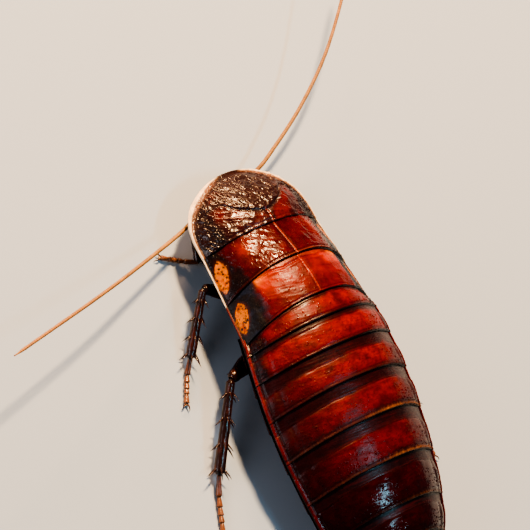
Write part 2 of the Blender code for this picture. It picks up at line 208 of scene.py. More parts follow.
def arch(u):
    return 1 - np.abs(u) ** 2.1


def back(u, y):
    """A point of the smooth back at u from -1 (right) to 1 (left) and midline length y."""
    margin, crown = trunk(y, "margin"), trunk(y, "crown")
    swept = y + np.interp(y, *SWEEPS) * np.abs(u) ** CORNER
    return np.stack([u * trunk(y, "width"), swept, lerp(margin, crown, arch(u))], -1)


def shield(u, v):
    """A point of the pronotum at u from -1 to 1 and v from 0 at its front edge to 1."""
    rise = np.sin(v * np.pi / 2)
    x = u * lerp(8.4, 11.4, 1 - (1 - v) ** 3.5)
    y = SHIELD_END * v + lerp(2.85, 1.3, v) * np.abs(u) ** lerp(2.2, CORNER, v)
    return np.stack([x, y, lerp(lerp(4.9, 6.0, v), lerp(5.2, 10.7, rise**0.9), arch(u))], -1)


# Meshes


class Shape:
    """Vertices, faces and a tint for each vertex, gathered until they are made into one piece."""

    def __init__(self):
        self.points, self.faces, self.tints, self.count = [], [], [], 0

    def grid(self, points, tint, flip=False, wrap=False):
        """Adds a grid of points, with one tint or one for each; wrap joins its last column to its first."""
        rows, cols = points.shape[:2]
        index = np.arange(rows * cols).reshape(rows, cols) + self.count
        if wrap:
            index = np.concatenate([index, index[:, :1]], 1)
        quads = np.stack([index[:-1, :-1], index[:-1, 1:], index[1:, 1:], index[1:, :-1]], -1).reshape(-1, 4)
        self.points.append(points.reshape(-1, 3))
        self.tints.append(np.broadcast_to(tint, (rows, cols, 4)).reshape(-1, 4))
        self.faces.append(quads[:, ::-1] if flip else quads)
        self.count += rows * cols

    def tube(self, rings, tint, flip=False):
        """Adds a tube of rings with a cap on each end."""
        sides = rings.shape[1]
        first = np.arange(sides) + self.count
        last = first + (len(rings) - 1) * sides
        self.grid(rings, tint, flip, wrap=True)
        self.faces += [first[None, ::-1], last[None]] if flip else [first[None], last[None, ::-1]]

    def make(self, name, finish, slot, replaced=()):
        """Makes the piece, which rides on the body and takes the place of the CAD nodes named."""
        loops = np.concatenate([f.ravel() for f in self.faces])
        sizes = np.concatenate([np.full(len(f), f.shape[1]) for f in self.faces])
        starts = np.concatenate([[0], np.cumsum(sizes)[:-1]])
        mesh = bpy.data.meshes.new(name)
        mesh.vertices.add(self.count)
        mesh.vertices.foreach_set("co", (np.concatenate(self.points) * 0.001 + ORIGIN).ravel())
        mesh.loops.add(len(loops))
        mesh.loops.foreach_set("vertex_index", loops.astype(np.int32))
        mesh.polygons.add(len(sizes))
        mesh.polygons.foreach_set("loop_start", starts.astype(np.int32))
        mesh.update(calc_edges=True)
        mesh.validate()
        mesh.polygons.foreach_set("use_smooth", np.ones(len(mesh.polygons), bool))
        layer = mesh.color_attributes.new("tint", "FLOAT_COLOR", "POINT")
        layer.data.foreach_set("color", np.concatenate(self.tints).ravel())
        mesh.materials.append(finish)
        made = bpy.data.objects.new(name, mesh)
        bpy.context.scene.collection.objects.link(made)
        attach(made, "root")
        if replaced:
            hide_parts(*replaced)


def normals(points, steady=0.0):
    """Unit normals of a grid; steady leans those of its squeezed corners upright."""
    n = np.cross(np.gradient(points, axis=1), np.gradient(points, axis=0))
    if steady:
        n[..., 2] += steady * np.median(np.linalg.norm(n, axis=-1))
    return n / np.maximum(np.linalg.norm(n, axis=-1, keepdims=True), 1e-9)


def distance_to(points, outline):
    """The distance from each point of a grid to the nearest point of an outline."""
    return np.array([np.sqrt(((row[:, None] - outline) ** 2).sum(-1).min(1)) for row in points])


def run_length(points, axis):
    """Distances along a grid of points from its first row (axis 0) or first column (axis 1)."""
    steps = np.linalg.norm(np.diff(points, axis=axis), axis=2)
    return np.insert(np.cumsum(steps, axis), 0, 0.0, axis)


class Sheet:
    """The outer side of a plate as a grid, with its relief, its colours and distances in millimetres."""

    def __init__(self, points, colour, gloss=0.3):
        self.points = points
        self.relief = np.zeros(points.shape[:2])
        self.colour = np.tile(rgba(colour, gloss), (*points.shape[:2], 1))
        arc = run_length(points, 1)
        self.across, self.along = arc - arc[:, -1:] / 2, points[..., 1]
        self.to_front = run_length(points, 0)
        self.to_side = np.minimum(arc, arc[:, -1:] - arc)
        self.to_hind = self.to_front[-1:] - self.to_front
        self.border = np.minimum(self.to_side, self.to_hind)

    def fields(self):
        return self.across, self.along, self.to_side, self.to_hind, self.relief, self.colour

    def scatter(self, seed, per_mm2, radius, where=1.0):
        """A field of round bumps of height 1, strewn where the mask allows them."""
        rng = np.random.default_rng(seed)
        field = np.zeros_like(self.relief)
        rows, cols = field.shape
        chance = np.broadcast_to(clamp(where), field.shape)
        area = self.across[:, -1].mean() * 2 * self.to_front[-1].mean()
        reach = int(math.ceil(radius * 1.4 / max(area / field.size, 1e-4) ** 0.5)) + 1
        for _ in range(int(area * per_mm2)):
            r, c = rng.integers(rows), rng.integers(cols)
            size = radius * rng.uniform(0.65, 1.3)
            if rng.random() > chance[r, c]:
                continue
            near = tuple(slice(max(i - reach, 0), i + reach + 1) for i in (r, c))
            dx = (self.across[near] - self.across[r, c]) / size
            dy = (self.along[near] - self.along[r, c]) / size
            field[near] = np.maximum(field[near], clamp(1 - dx**2 - dy**2) ** 1.5)
        return field

    def make(self, name, node, finish=None, slot="mahogany_chitin", thickness=SHELL, steady=0.0):
        """Makes the plate: its outer side, and a coarser inner side with a rounded edge between them."""
        n = normals(self.points, steady)
        radius = thickness / 2
        drop = radius * (1 - np.sqrt(1 - clamp(1 - self.border / radius) ** 2))
        outer = self.points + n * (self.relief * smooth(self.border, 0, 0.12) - drop)[..., None]
        inner = self.points - n * (thickness - drop)[..., None]
        pick = np.ix_(*(sorted({*range(0, count, COARSE), count - 1}) for count in self.relief.shape))
        shape = Shape()
        shape.grid(outer, self.colour)
        shape.grid(inner[pick], self.colour[pick] * INNER_SHADE, flip=True)
        shape.make(name, finish or MAHOGANY, slot, (node,))


def loft(shape, path, breadth, depth, sides, tint, up=(0, 0, 1), wrinkle=None):
    """A closed tube along path with half axes breadth (across) and depth (towards up)."""
    along = unit(np.gradient(path, axis=0))
    across = unit(np.cross(along, up))
    over = np.cross(across, along)
    angle = np.linspace(0, 2 * np.pi, sides, endpoint=False)
    out = across[:, None] * np.outer(breadth, np.cos(angle))[..., None]
    out += over[:, None] * np.outer(depth, np.sin(angle))[..., None]
    if wrinkle is not None:
        out += unit(out) * wrinkle[..., None]
    tint = np.asarray(tint)
    shape.tube(path[:, None] + out, tint[:, None] if tint.ndim == 2 else tint)


def sample(points, at, where):
    """The places of a route whose points are reached at the lengths at."""
    return np.stack([np.interp(where, at, points[:, i]) for i in range(3)], 1)


def curve(points, count):
    """An even Catmull-Rom curve through points."""
    p = np.asarray(points, float)
    ends = np.concatenate([[2 * p[0] - p[1]], p, [2 * p[-1] - p[-2]]])
    spans = len(p) - 1
    share = np.linspace(0, spans, max(count * 2, 40))
    k = np.minimum(share.astype(int), spans - 1)
    t = (share - k)[:, None]
    a, b, c, d = (ends[k + i] for i in range(4))
    out = 0.5 * (2 * b + (c - a) * t + (2 * a - 5 * b + 4 * c - d) * t**2 + (3 * b - a - 3 * c + d) * t**3)
    length = np.concatenate([[0], np.cumsum(np.linalg.norm(np.diff(out, axis=0), axis=1))])
    return sample(out, length, np.linspace(0, length[-1], count))


def profile(shares, table):
    """Rows of (share, value, ...) read at shares, eased between the rows."""
    table = np.asarray(table)
    k = np.clip(np.searchsorted(table[:, 0], shares, side="right") - 1, 0, len(table) - 2)
    t = smooth(shares, table[k, 0], table[k + 1, 0])
    return [lerp(column[k], column[k + 1], t) for column in table.T[1:]]


def in_joint(share, lengths):
    """How far along its own joint, from 0 to 1, each share of a chain of joints is."""
    edges = np.concatenate([[0], np.cumsum(lengths) / sum(lengths)])
    k = np.clip(np.searchsorted(edges, share, side="right") - 1, 0, len(lengths) - 1)
    return (share - edges[k]) / (edges[k + 1] - edges[k])


def waist(local, root, root_depth, tip, tip_depth):
    """Narrows each joint of a chain towards its two ends."""
    at_root = ((root - local) / root) ** 2 * (local < root) * root_depth
    at_tip = ((local - tip) / (1 - tip)) ** 2 * (local > tip) * tip_depth
    return np.sqrt(clamp(1 - at_root) * clamp(1 - at_tip))


# Materials


def node(tree, kind, values):
    made = tree.nodes.new(kind)
    for name, value in values.items():
        made.inputs[name].default_value = value
    return made


def link(tree, a, out, b, into):
    tree.links.new(a.outputs[out], b.inputs[into])


def cuticle(name, rough, mottle, grain, specular=0.45):
    """Glossy insect cuticle: the tint of each vertex, mottled, with fine pores."""
    made = bpy.data.materials.new(name)
    made.use_nodes = True
    tree = made.node_tree
    shader = tree.nodes["Principled BSDF"]
    for socket, value in (("Metallic", 0), ("IOR", 1.5), ("Specular IOR Level", specular)):
        shader.inputs[socket].default_value = value
    tint = node(tree, "ShaderNodeAttribute", {})
    tint.attribute_name = "tint"
    place = node(tree, "ShaderNodeTexCoord", {})
    blotch = node(tree, "ShaderNodeTexNoise", {"Scale": 700, "Detail": 5, "Roughness": 0.6})
    pores = node(tree, "ShaderNodeTexNoise", {"Scale": 4200, "Detail": 3})
    middle = {"From Min": 0.3, "From Max": 0.7}
    spread = node(tree, "ShaderNodeMapRange", {**middle, "To Min": 1 - mottle, "To Max": 1 + mottle})
    gloss = node(tree, "ShaderNodeMapRange", {**middle, "To Min": rough[0] - 0.3, "To Max": rough[1] - 0.3})
    shade = node(tree, "ShaderNodeVectorMath", {})
    shade.operation = "SCALE"
    total = node(tree, "ShaderNodeMath", {})
    total.operation = "ADD"
    total.use_clamp = True
    bump = node(tree, "ShaderNodeBump", {"Strength": grain, "Distance": 0.0001})
    for texture, scaled in ((blotch, spread), (pores, gloss)):
        link(tree, place, "Object", texture, "Vector")
        link(tree, texture, "Fac", scaled, "Value")
    link(tree, tint, "Color", shade, 0)
    link(tree, spread, "Result", shade, "Scale")
    link(tree, shade, "Vector", shader, "Base Color")
    link(tree, tint, "Alpha", total, 0)
    link(tree, gloss, "Result", total, 1)
    link(tree, total, "Value", shader, "Roughness")
    link(tree, pores, "Fac", bump, "Height")
    link(tree, bump, "Normal", shader, "Normal")
    return made


# Name, least and greatest roughness at a tint's roughness of 0.3, mottling, depth of the pores, specular
PRONOTAL = cuticle("pronotal_cuticle", (0.16, 0.28), 0.3, 0.08, 0.42)
MAHOGANY = cuticle("mahogany_cuticle", (0.17, 0.30), 0.36, 0.07, 0.24)
VENTRAL = cuticle("ventral_cuticle", (0.20, 0.36), 0.22, 0.12)
LIMB = cuticle("limb_cuticle", (0.12, 0.28), 0.3, 0.36)
FEELER = cuticle("feeler_cuticle", (0.36, 0.52), 0.2, 0.2)
MEMBRANE = cuticle("joint_membrane", (0.5, 0.7), 0.25, 0.4)
CORNEA = cuticle("cornea", (0.08, 0.2), 0.15, 0.05)


# Back plates

# The furrow that bounds the pronotum's disc, a V whose point is near the hind edge
FURROW_U = (0.0, 0.12, 0.27, 0.40, 0.48, 0.59, 0.70, 0.82)
FURROW_V = (0.775, 0.745, 0.68, 0.59, 0.46, 0.385, 0.385, 0.47)


def make_pronotum():
    uu, vv = np.meshgrid(eased(281, 0.92), np.linspace(0, 1, 118))
    sheet = Sheet(shield(uu, vv), BROWN, 0.34)
    x, y, _, to_hind, relief, c = sheet.fields()
    au = np.abs(uu)
    edge = distance_to(sheet.points, np.concatenate([sheet.points[0], *sheet.points[:, [0, -1]]]))
    sheet.border = np.minimum(edge, to_hind)
    from_furrow = (vv - np.interp(au, FURROW_U, FURROW_V)) * 10.5 + 0.12 * fbm(x * 0.9, y * 0.9, 3)
    behind = smooth(from_furrow, -0.15, 0.9)
    in_furrow = line(from_furrow, 0, 0.24) * smooth(au, 0.86, 0.66)
    flank = smooth(au, 0.62, 0.8)
    disc = behind * (1 - flank)
    # relief
    coarse = ridges(x * 0.8 + 0.35 * y, y * 0.95 - 0.15 * x, 11, 2)
    wrinkles = ridges(x * 0.5 + 0.5 * fbm(x * 0.8, y * 0.8, 5), y * 1.15 + 0.4 * x, 21, 2)
    knobs = sheet.scatter(31, 2.2, 0.2, (1 - disc) * smooth(edge, 0.5, 1.0))
    pits = sheet.scatter(32, 2.4, 0.10, 0.5 + 0.5 * disc)
    glints = sheet.scatter(33, 3.2, 0.14, flank * smooth(edge, 0.7, 1.1) + 0.3 * smooth(vv, 0.5, 0.2))
    relief += 0.16 * hill(au, 0.42, 0.20, vv, 0.46, 0.17) - 0.20 * in_furrow
    relief += 0.20 * (coarse - 0.45) * (1 - 0.8 * disc) * smooth(edge, 0.4, 1.4)
    relief += 0.13 * (wrinkles - 0.4) * disc + 0.05 * fbm(x * 0.5, y * 0.5, 41)
    relief += 0.08 * knobs + 0.10 * glints - 0.045 * pits
    # the upturned rim and its gutter, the median line, and the groove before the hind edge
    rim_width = lerp(0.42, 1.0, line(vv, 0.06, 0.34) * smooth(au, 0.3, 0.8))
    rim = smooth(edge, rim_width, rim_width * 0.72)
    relief += 0.16 * rim - 0.16 * line(edge, rim_width + 0.32, 0.26)
    median = line(x, 0, 0.085) * smooth(vv, 0.70, 0.82)
    relief += 0.055 * median - 0.05 * line(np.abs(x), 0.2, 0.1) * smooth(vv, 0.72, 0.82)
    relief -= 0.06 * line(to_hind, 0.55, 0.14) * (1 - flank)
    # colour
    tone = fbm(x * 0.6, y * 0.6, 51)
    before = (1 - behind) * smooth(au, 0.22, 0.5) * (1 - 0.6 * flank)
    paint(c, UMBER, 0.5 * smooth(coarse, 0.4, 0.8) * before)
    paint(c, (0.017, 0.0036, 0.0030), 0.8 * flank)
    paint(c, (0.036, 0.0030, 0.0028), disc * clamp(0.85 + 0.3 * tone))
    paint(c, (0.12, 0.005, 0.0035), disc * smooth(tone, -0.1, 0.45) * smooth(au, 0.72, 0.5) * 0.5)
    paint(c, (0.16, 0.011, 0.006), 0.4 * disc * smooth(au, 0.6, 0.25) * smooth(tone, -0.4, 0.3))
    paint(c, RED, 0.35 * hill(au, 0.62, 0.10, vv, 0.56, 0.12))
    paint(c, BLACK, 0.7 * line(au, 0.73, 0.08) * smooth(vv, 0.35, 0.55))
    # painted shade: the furrow and the pits are darkened where shade falls in them
    paint(c, BAND, 0.85 * clamp(in_furrow + pits * 0.7))
    paint(c, (0.36, 0.03, 0.012), 0.6 * median)
    paint(c, BLACK, smooth(to_hind, 0.22, 0.08))
    # a pale veil inside the rim, brighter on the crests of the relief: partly the cuticle's own translucent
    # pale edge and partly painted highlight haze
    veil = smooth(edge, rim_width + 1.1, rim_width) * smooth(au, 0.25, 0.6) * smooth(vv, 0.62, 0.2)
    paint(c, (0.30, 0.15, 0.095), veil * clamp(0.45 + 0.5 * coarse - 0.6 * pits))
    # the cream rim: partly the cuticle's own pale edge and partly a painted highlight on the upturned rim
    pale = rim * smooth(au, 0.16, 0.36)
    fleck = smooth(edge, 0.35 * rim_width, rim_width) * smooth(noise(x * 5, y * 5, 62), 0.0, 0.5)
    paint(c, CREAM, pale * clamp(0.92 + 0.2 * fbm(x * 2, y * 2, 61)) * (1 - 0.55 * fleck))
    paint(c, BROWN, 0.9 * rim * smooth(au, 0.30, 0.14))
    paint(c, (0.20, 0.075, 0.035), 0.75 * line(edge, rim_width + 0.05, 0.09) * smooth(au, 0.16, 0.36))
    c[..., 3] += 0.03 * (1 - disc) + 0.02 * disc + 0.12 * pale
    sheet.make("pronotum_cuticle", "pronotum", PRONOTAL, "dark_chitin", 0.42, steady=0.15)


def plate_sheet(k):
    """Back plate k, which starts under the plate before it, with u, y and the share of its length."""
    start, hind = PLATES[k - 1][1], PLATES[k][1]
    front, end = start - OVERLAP, hind + OVERHANG
    cols = int(2.2 * trunk(hind, "width") / STEP)
    uu, yy = np.meshgrid(eased(cols, 0.9), np.linspace(front, end, int((end - front) / STEP)))
    share = (yy - start) / (hind - start)
    points = back(uu, np.maximum(yy, SHIELD_END))
    points[..., 1] += np.minimum(yy - SHIELD_END, 0)
    sheet = Sheet(points, RED)
    lift = PLATE_RISE * (2 * share - 1) - 0.35 * smooth(share, 0.02, -0.12)
    sheet.relief += lift * (1 - 0.7 * smooth(np.abs(uu), 0.86, 0.99))
    return sheet, uu, yy, share


def spot(sheet, yy, centre, half_length, off, half_width, seed):
    """Paints a lens-shaped orange mark beside each margin, with a brown surround, mottling and dark dots."""
    x, y, to_side, _, _, c = sheet.fields()
    t = (yy - centre) / half_length
    middle = lerp(off[0], off[1], clamp(t / 2 + 0.5))
    half = half_width * clamp(1 - t**2) ** 0.8
    wobble = 0.15 * fbm(x * 1.2, yy * 1.2, seed) + 0.06 * noise(x * 5, yy * 5, seed + 4)
    away = np.abs(to_side - middle) + wobble
    inside = smooth(away, half + 0.09, half - 0.15) * (np.abs(t) < 1)
    dots = sheet.scatter(seed, 6.0, 0.15, inside)
    paint(c, (0.045, 0.0065, 0.0022), 0.8 * smooth(away, half + 0.75, half) * smooth(np.abs(t), 1.3, 0.9))
    paint(c, ORANGE, inside)
    paint(c, (0.27, 0.036, 0.0012), inside * smooth(fbm(x * 1.6, y * 1.6, seed + 1), 0.0, 0.6) * 0.85)
    paint(c, BLACK, clamp(inside * dots * 2.2))


def make_mesonotum():
    sheet, uu, yy, share = plate_sheet(1)
    x, y, to_side, to_hind, relief, c = sheet.fields()
    au = np.abs(uu)
    inner = lerp(0.80, 0.66, clamp(share))
    side = smooth(au + 0.045 * fbm(x * 0.9, y * 0.9, 2), inner - 0.09, inner + 0.05)
    disc = 1 - side
    # relief
    bent = x * 0.55 + 0.9 * fbm(x * 0.6, y * 0.6, 6)
    wrinkles = ridges(bent, y * 0.85 + 0.35 * x + 0.5 * fbm(x, y, 7), 71, 2)
    cracks = ridges(x * 1.5 + 0.7 * fbm(x, y, 17), y * 1.9 + 0.8 * x, 76, 2)
    pits = sheet.scatter(72, 2.6, 0.09, (0.3 + 0.7 * smooth(share, 0.3, 0.9)) * disc + 0.2)
    lump = hill(au, 0.58, 0.10, share, 0.33, 0.26)
    knobby = side * smooth(to_side, 0.4, 0.8) + 0.4 * disc * smooth(au, 0.35, 0.6)
    knobs = sheet.scatter(73, 3.0, 0.13, knobby)
    rough = disc * smooth(au, 0.0, 0.12) * smooth(to_hind, 0.3, 0.8)
    relief += (0.065 * (wrinkles - 0.4) + 0.04 * (cracks - 0.4)) * rough
    relief += 0.22 * lump + 0.08 * knobs - 0.045 * pits + 0.08 * fbm(x * 0.5, y * 0.5, 8, 2)
    relief -= 0.10 * line(to_hind, 0.48, 0.10) * smooth(au, 0.9, 0.75)
    relief -= 0.10 * line(au, inner + 0.03, 0.06)
    median = line(x, 0, 0.075)
    relief += 0.06 * median - 0.04 * line(np.abs(x), 0.2, 0.09)
    rim = smooth(to_side, 0.34, 0.20)
    relief += 0.10 * rim - 0.10 * line(to_side, 0.5, 0.16)
    # colour
    tone = fbm(x * 0.7, y * 0.7, 9)
    paint(c, (0.046, 0.0020, 0.0024), disc * clamp(0.9 + 0.3 * tone))
    paint(c, (0.13, 0.0060, 0.0038), 0.55 * disc * smooth(tone, -0.1, 0.5) * smooth(au, 0.1, 0.3))
    paint(c, RED_ORANGE, 0.3 * lump * disc)
    paint(c, (0.045, 0.0020, 0.0022), 0.6 * disc * smooth(au, 0.45, 0.66) * (1 - lump))
    paint(c, (0.009, 0.0030, 0.0035), side)
    # painted sheen: a bluish reflection painted into the black sides
    paint(c, BLACK_WITH_BLUE_SHEEN, 0.5 * side * smooth(tone, 0.0, 0.6))
    paint(c, (0.03, 0.004, 0.003), 0.75 * smooth(to_hind, 0.62, 0.40))
    paint(c, (0.30, 0.06, 0.03), 0.55 * smooth(to_hind, 0.34, 0.26) * smooth(to_hind, 0.10, 0.18) * disc)
    # black hind edge, and a painted shadow of the pronotum's hind edge across the front of the plate
    paint(c, BLACK, smooth(to_hind, 0.16, 0.06) + 0.6 * smooth(share, 0.10, 0.0) * (0.4 + 0.6 * side))
    # painted shade darkens the pits
    paint(c, (0.03, 0.003, 0.003), 0.75 * pits * disc)
    paint(c, (0.50, 0.07, 0.025), 0.7 * median)
    spot(sheet, yy, 12.75, 1.85, (1.85, 1.25), 1.18, 74)
    # a thin cream line on the margin: partly the rim's own pale colour and partly a painted highlight on the
    # rounded rim
    paint(c, CREAM, rim * smooth(to_side, 0.02, 0.05))
    c[..., 3] += 0.04 * side + 0.03 * disc - 0.09 * disc * smooth(wrinkles, 0.3, 0.7)
    sheet.make("mesonotum_cuticle", "mesonotum")


def make_metanotum():
    sheet, uu, yy, share = plate_sheet(2)
    x, y, to_side, to_hind, relief, c = sheet.fields()
    au = np.abs(uu)
    inner = 0.685 + 0.045 * fbm(x * 0.9, y * 0.9, 12)
    side = smooth(au, inner - 0.08, inner + 0.05)
    disc = 1 - side
    from_groove = yy - PLATES[1][1] - np.interp(au, [0, 0.27, 0.45, 0.7], [0.75, 1.05, 0.55, 0.35])
    # relief
    pits = sheet.scatter(82, 1.8, 0.08, 0.3 + 0.4 * disc)
    streaks = ridges(x * 0.3, y * 1.3 + 0.25 * x, 83, 2)
    knobby = side * smooth(to_side, 0.4, 0.8) + 0.3 * disc + 0.25 * smooth(to_hind, 1.6, 0.6)
    knobs = sheet.scatter(84, 3.0, 0.12, knobby)
    relief += 0.16 * np.sin(np.pi * clamp((share - 0.12) / 0.9)) * disc
    groove = 0.06 * line(from_groove, 0.42, 0.2) - 0.13 * line(from_groove, 0, 0.16)
    relief += groove * smooth(au, 0.72, 0.5) + 0.06 * (streaks - 0.4) * disc
    relief += 0.06 * knobs - 0.035 * pits + 0.09 * fbm(x * 0.45, y * 0.45, 13, 2)
    relief -= 0.09 * line(au, 0.71, 0.05) * smooth(share, 0.1, 0.4)
    relief -= 0.08 * line(to_hind, 0.42, 0.09) * smooth(au, 0.9, 0.7)
    median = line(x, 0, 0.075) * smooth(share, 1.0, 0.93)
    relief += 0.055 * median - 0.035 * line(np.abs(x), 0.2, 0.09)
    rim = smooth(to_side, 0.36, 0.22)
    relief += 0.10 * rim - 0.10 * line(to_side, 0.52, 0.16)
    # colour
    c[..., :3] *= 0.66
    tone = fbm(x * 0.6, y * 0.9, 14)
    # painted light: a brighter red over the front of the disc, away from the midline
    lit = disc * clamp(0.45 + 0.6 * tone) * smooth(share, 0.9, 0.3) * smooth(au, 0.0, 0.45)
    paint(c, (0.29, 0.012, 0.004), lit)
    paint(c, (0.080, 0.0022, 0.0024), 0.65 * disc * smooth(share, 0.5, 0.95))
    paint(c, DEEP, 0.45 * disc * smooth(tone, 0.1, -0.5))
    paint(c, (0.62, 0.16, 0.03), 0.9 * disc * hill(au, 0.62, 0.09, share, 0.09, 0.10))
    paint(c, RED_ORANGE, 0.5 * disc * hill(au, 0.5, 0.15, share, 0.25, 0.16))
    paint(c, (0.30, 0.05, 0.025), 0.5 * smooth(from_groove, -0.1, -0.4) * disc)
    paint(c, (0.006, 0.0032, 0.0042), side)
    # painted sheen: a bluish reflection painted into the black sides
    paint(c, (0.010, 0.015, 0.036), 0.7 * side * smooth(tone, -0.1, 0.5) * smooth(to_side, 1.6, 2.4))
    # black hind edge, and a painted shadow of the mesonotum's hind edge across the front of the plate
    paint(c, BLACK, smooth(to_hind, 0.26, 0.08) + 0.5 * smooth(share, 0.06, 0.0))
    # painted shade darkens the pits
    paint(c, (0.10, 0.008, 0.006), 0.5 * pits * disc)
    paint(c, (0.50, 0.05, 0.018), 0.6 * median)
    spot(sheet, yy, 18.7, 2.15, (2.05, 1.35), 1.25, 85)
    paint(c, (0.17, 0.022, 0.014), 0.9 * rim)
    c[..., 3] += 0.13 + 0.03 * side
    sheet.make("metanotum_cuticle", "metanotum")


# For each abdominal plate: share of the dark front band, brightness of the red (which falls towards the tail
# partly as the plates' own darker colour and partly as painted shade), amber of the hind rim,
# roughness added to the red, swell of the red part, share of the half width where a black side begins
TERGITES = {
    3: (0.09, 0.70, 0.0, 0.10, 0.03, 0.73),
    4: (0.15, 0.80, 0.0, 0.13, 0.06, 0.80),
    5: (0.31, 0.74, 0.05, 0.16, 0.11, None),
    6: (0.27, 0.60, 1.0, 0.16, 0.11, None),
    7: (0.28, 0.46, 0.9, 0.06, 0.11, None),
    8: (0.22, 0.15, 0.25, -0.09, 0.11, None),
    9: (0.24, 0.12, 0.15, -0.09, 0.11, None),
    10: (0.30, 0.12, 0.0, -0.09, 0.11, None),
}
FIRST, FIRST_LIFT = 3, 0.4  # the first abdominal plate stands less proud than the others
GRAINY_FROM = 7  # the plate from which the granules cover the whole width


def make_tergite(k):
    name, hind = PLATES[k][:2]
    band_share, red_brightness_and_shade, amber, silk, swell, dark_from = TERGITES[k]
    sheet, uu, _, share = plate_sheet(k)
    x, y, to_side, to_hind, relief, c = sheet.fields()
    au = np.abs(uu)
    seed = 100 * k
    if k == FIRST:
        relief *= FIRST_LIFT
    ridge = band_share * (1 + 0.12 * au**2) + 0.03 * fbm(x * 0.35, y * 0 + k, seed)
    from_ridge = (share - ridge) * (hind - PLATES[k - 1][1])
    field = smooth(from_ridge, -0.08, 0.3)
    s = clamp((share - ridge) / (1 - ridge))
    # relief
    pits = sheet.scatter(seed + 1, 2.4, 0.08, 0.35 + 0.4 * au)
    grainy = smooth(au, 0.3, 0.8) + (1.1 if k >= GRAINY_FROM else 0.3)
    grains = sheet.scatter(seed + 2, 2.2, 0.10, grainy * smooth(s, 0.1, 0.5) * smooth(to_side, 0.5, 0.9))
    streaks = ridges(x * 0.22, y * 1.6 + 0.2 * x, seed + 3, 2)
    scratch = ridges(x * 0.35, y * 4.2 + 0.3 * x, seed + 9, 2)
    folds = ridges(x * 0.16, y * 3.4 + 0.15 * x, seed + 13, 2)
    relief += swell * field * np.sin(np.pi * s**0.8) ** 0.8
    relief += 0.016 * line(from_ridge, 0.0, 0.09) - 0.036 * line(from_ridge, 0.22, 0.12)
    relief += 0.03 * (streaks - 0.4 - pits) * field + 0.10 * grains + 0.010 * (scratch - 0.4)
    relief += 0.08 * fbm(x * 0.35, y * 0.4, seed + 4, 2) * field - 0.05 * line(to_hind, 0.5, 0.12)
    relief += (0.12 * hill(to_side, 1.9, 0.9, s, 0.45, 0.3) - 0.08 * line(to_side, 3.1, 0.5)) * field
    rim = smooth(to_side, 0.74, 0.52)
    relief += 0.15 * rim - 0.13 * line(to_side, 0.97, 0.2)
    tone = fbm(x * 0.45, y * 0.9, seed + 6)
    glow = smooth(from_ridge + 0.34 * fbm(x * 0.55, y * 1.2, seed + 10), -0.2, 0.6)
    band = 1 - glow
    relief += 0.03 * (folds - 0.4) * band * smooth(share, 0.0, 0.06)

    # colour
    def tinge(colour, amount, least=0.0):
        paint(c, np.array(colour) * max(red_brightness_and_shade, least), amount)

    # dims the plate's colours by its brightness, which falls towards the tail partly as painted shade
    c[..., :3] *= red_brightness_and_shade
    tinge(DEEP, 0.6 * smooth(tone, 0.0, 0.7) + 0.5 * smooth(s, 0.5, 1.0))
    tinge((0.33, 0.010, 0.005), 0.5 * line(s, 0.32, 0.25) * smooth(tone, 0.3, -0.3) * (1 - au**2))
    tinge((0.06, 0.0020, 0.0024), 0.35 * smooth(scratch, 0.5, 0.8) * field)
    tinge((0.035, 0.0018, 0.0022), 0.75 * smooth(to_hind, 0.9, 0.25))
    paint(c, BAND, band * 0.93)
    # the band's lighter reddish mottle stops short of its front edge, which stays darkest as a painted shadow
    # under the plate before
    worn = smooth(folds + 0.5 * tone, 0.35, 0.9) * smooth(share, 0.03, 0.12)
    paint(c, (0.055, 0.006, 0.007), 0.7 * band * worn)
    paint(c, (0.09, 0.014, 0.012), 0.45 * line(from_ridge, -0.02, 0.05))
    if dark_from:
        paint(c, (0.005, 0.0020, 0.0030), 0.92 * smooth(au + 0.03 * tone, dark_from, dark_from + 0.1))
    else:
        # darker towards the sides: partly the plates' own colour and partly painted shade
        tinge((0.032, 0.0018, 0.0024), 0.85 * smooth(au, 0.36, 0.9), 0.5)
    tinge(DEEP, 0.45 * smooth(fbm(x * 2.2, y * 3.2, seed + 14), 0.0, 0.45) * field)
    # painted shade darkens the pits
    paint(c, (0.025, 0.002, 0.002), 0.6 * pits * field)
    tinge((0.22, 0.018, 0.013), 0.9 * rim * smooth(to_side, 0.14, 0.3), 0.4)
    # painted shade: the outer slope beyond the raised rim is painted black
    paint(c, BLACK, 0.9 * smooth(to_side, 0.2, 0.08))
    if amber:
        # painted light: the amber fringe is brighter on the right and fades towards the left
        lit = lerp(0.18, 1.0, smooth(uu, 0.3, -0.25)) * smooth(au, 0.985, 0.93)
        width = 0.78 + 0.12 * (noise(x * 2.0, y * 0, seed + 7) + noise(x * 6.0, y * 0, seed + 11))
        comb = 0.62 + 0.34 * noise(x * 6.5, y * 0.4, seed + 8) + 0.2 * noise(x * 2.2, y, seed + 12)
        comb = clamp(comb, 0.15)
        fringe = smooth(to_hind, width, width - 0.62) * smooth(to_hind, 0.02, 0.08)
        paint(c, BAND, 0.7 * amber * line(to_hind, width + 0.05, 0.2))
        paint(c, AMBER, amber * lit * comb * fringe)
        relief += 0.012 * (comb - 0.5) * fringe
        c[..., 3] += 0.16 * fringe
    paint(c, BLACK, smooth(to_hind, 0.12, 0.04) if amber else smooth(to_hind, 0.34, 0.12))
    c[..., 3] += silk * glow + 0.09 * band - 0.20 * smooth(grains, 0.2, 0.6)
    sheet.make(f"{name}_cuticle", name)


CERCUS_ROUTE = ((4.4, 61.8, 3.6), (5.05, 64.0, 3.62), (5.8, 66.2, 3.8))
CERCUS = ((0, 0.42, 0.36), (0.2, 0.72, 0.56), (0.6, 0.60, 0.5), (0.9, 0.34, 0.3), (1, 0.06, 0.06))


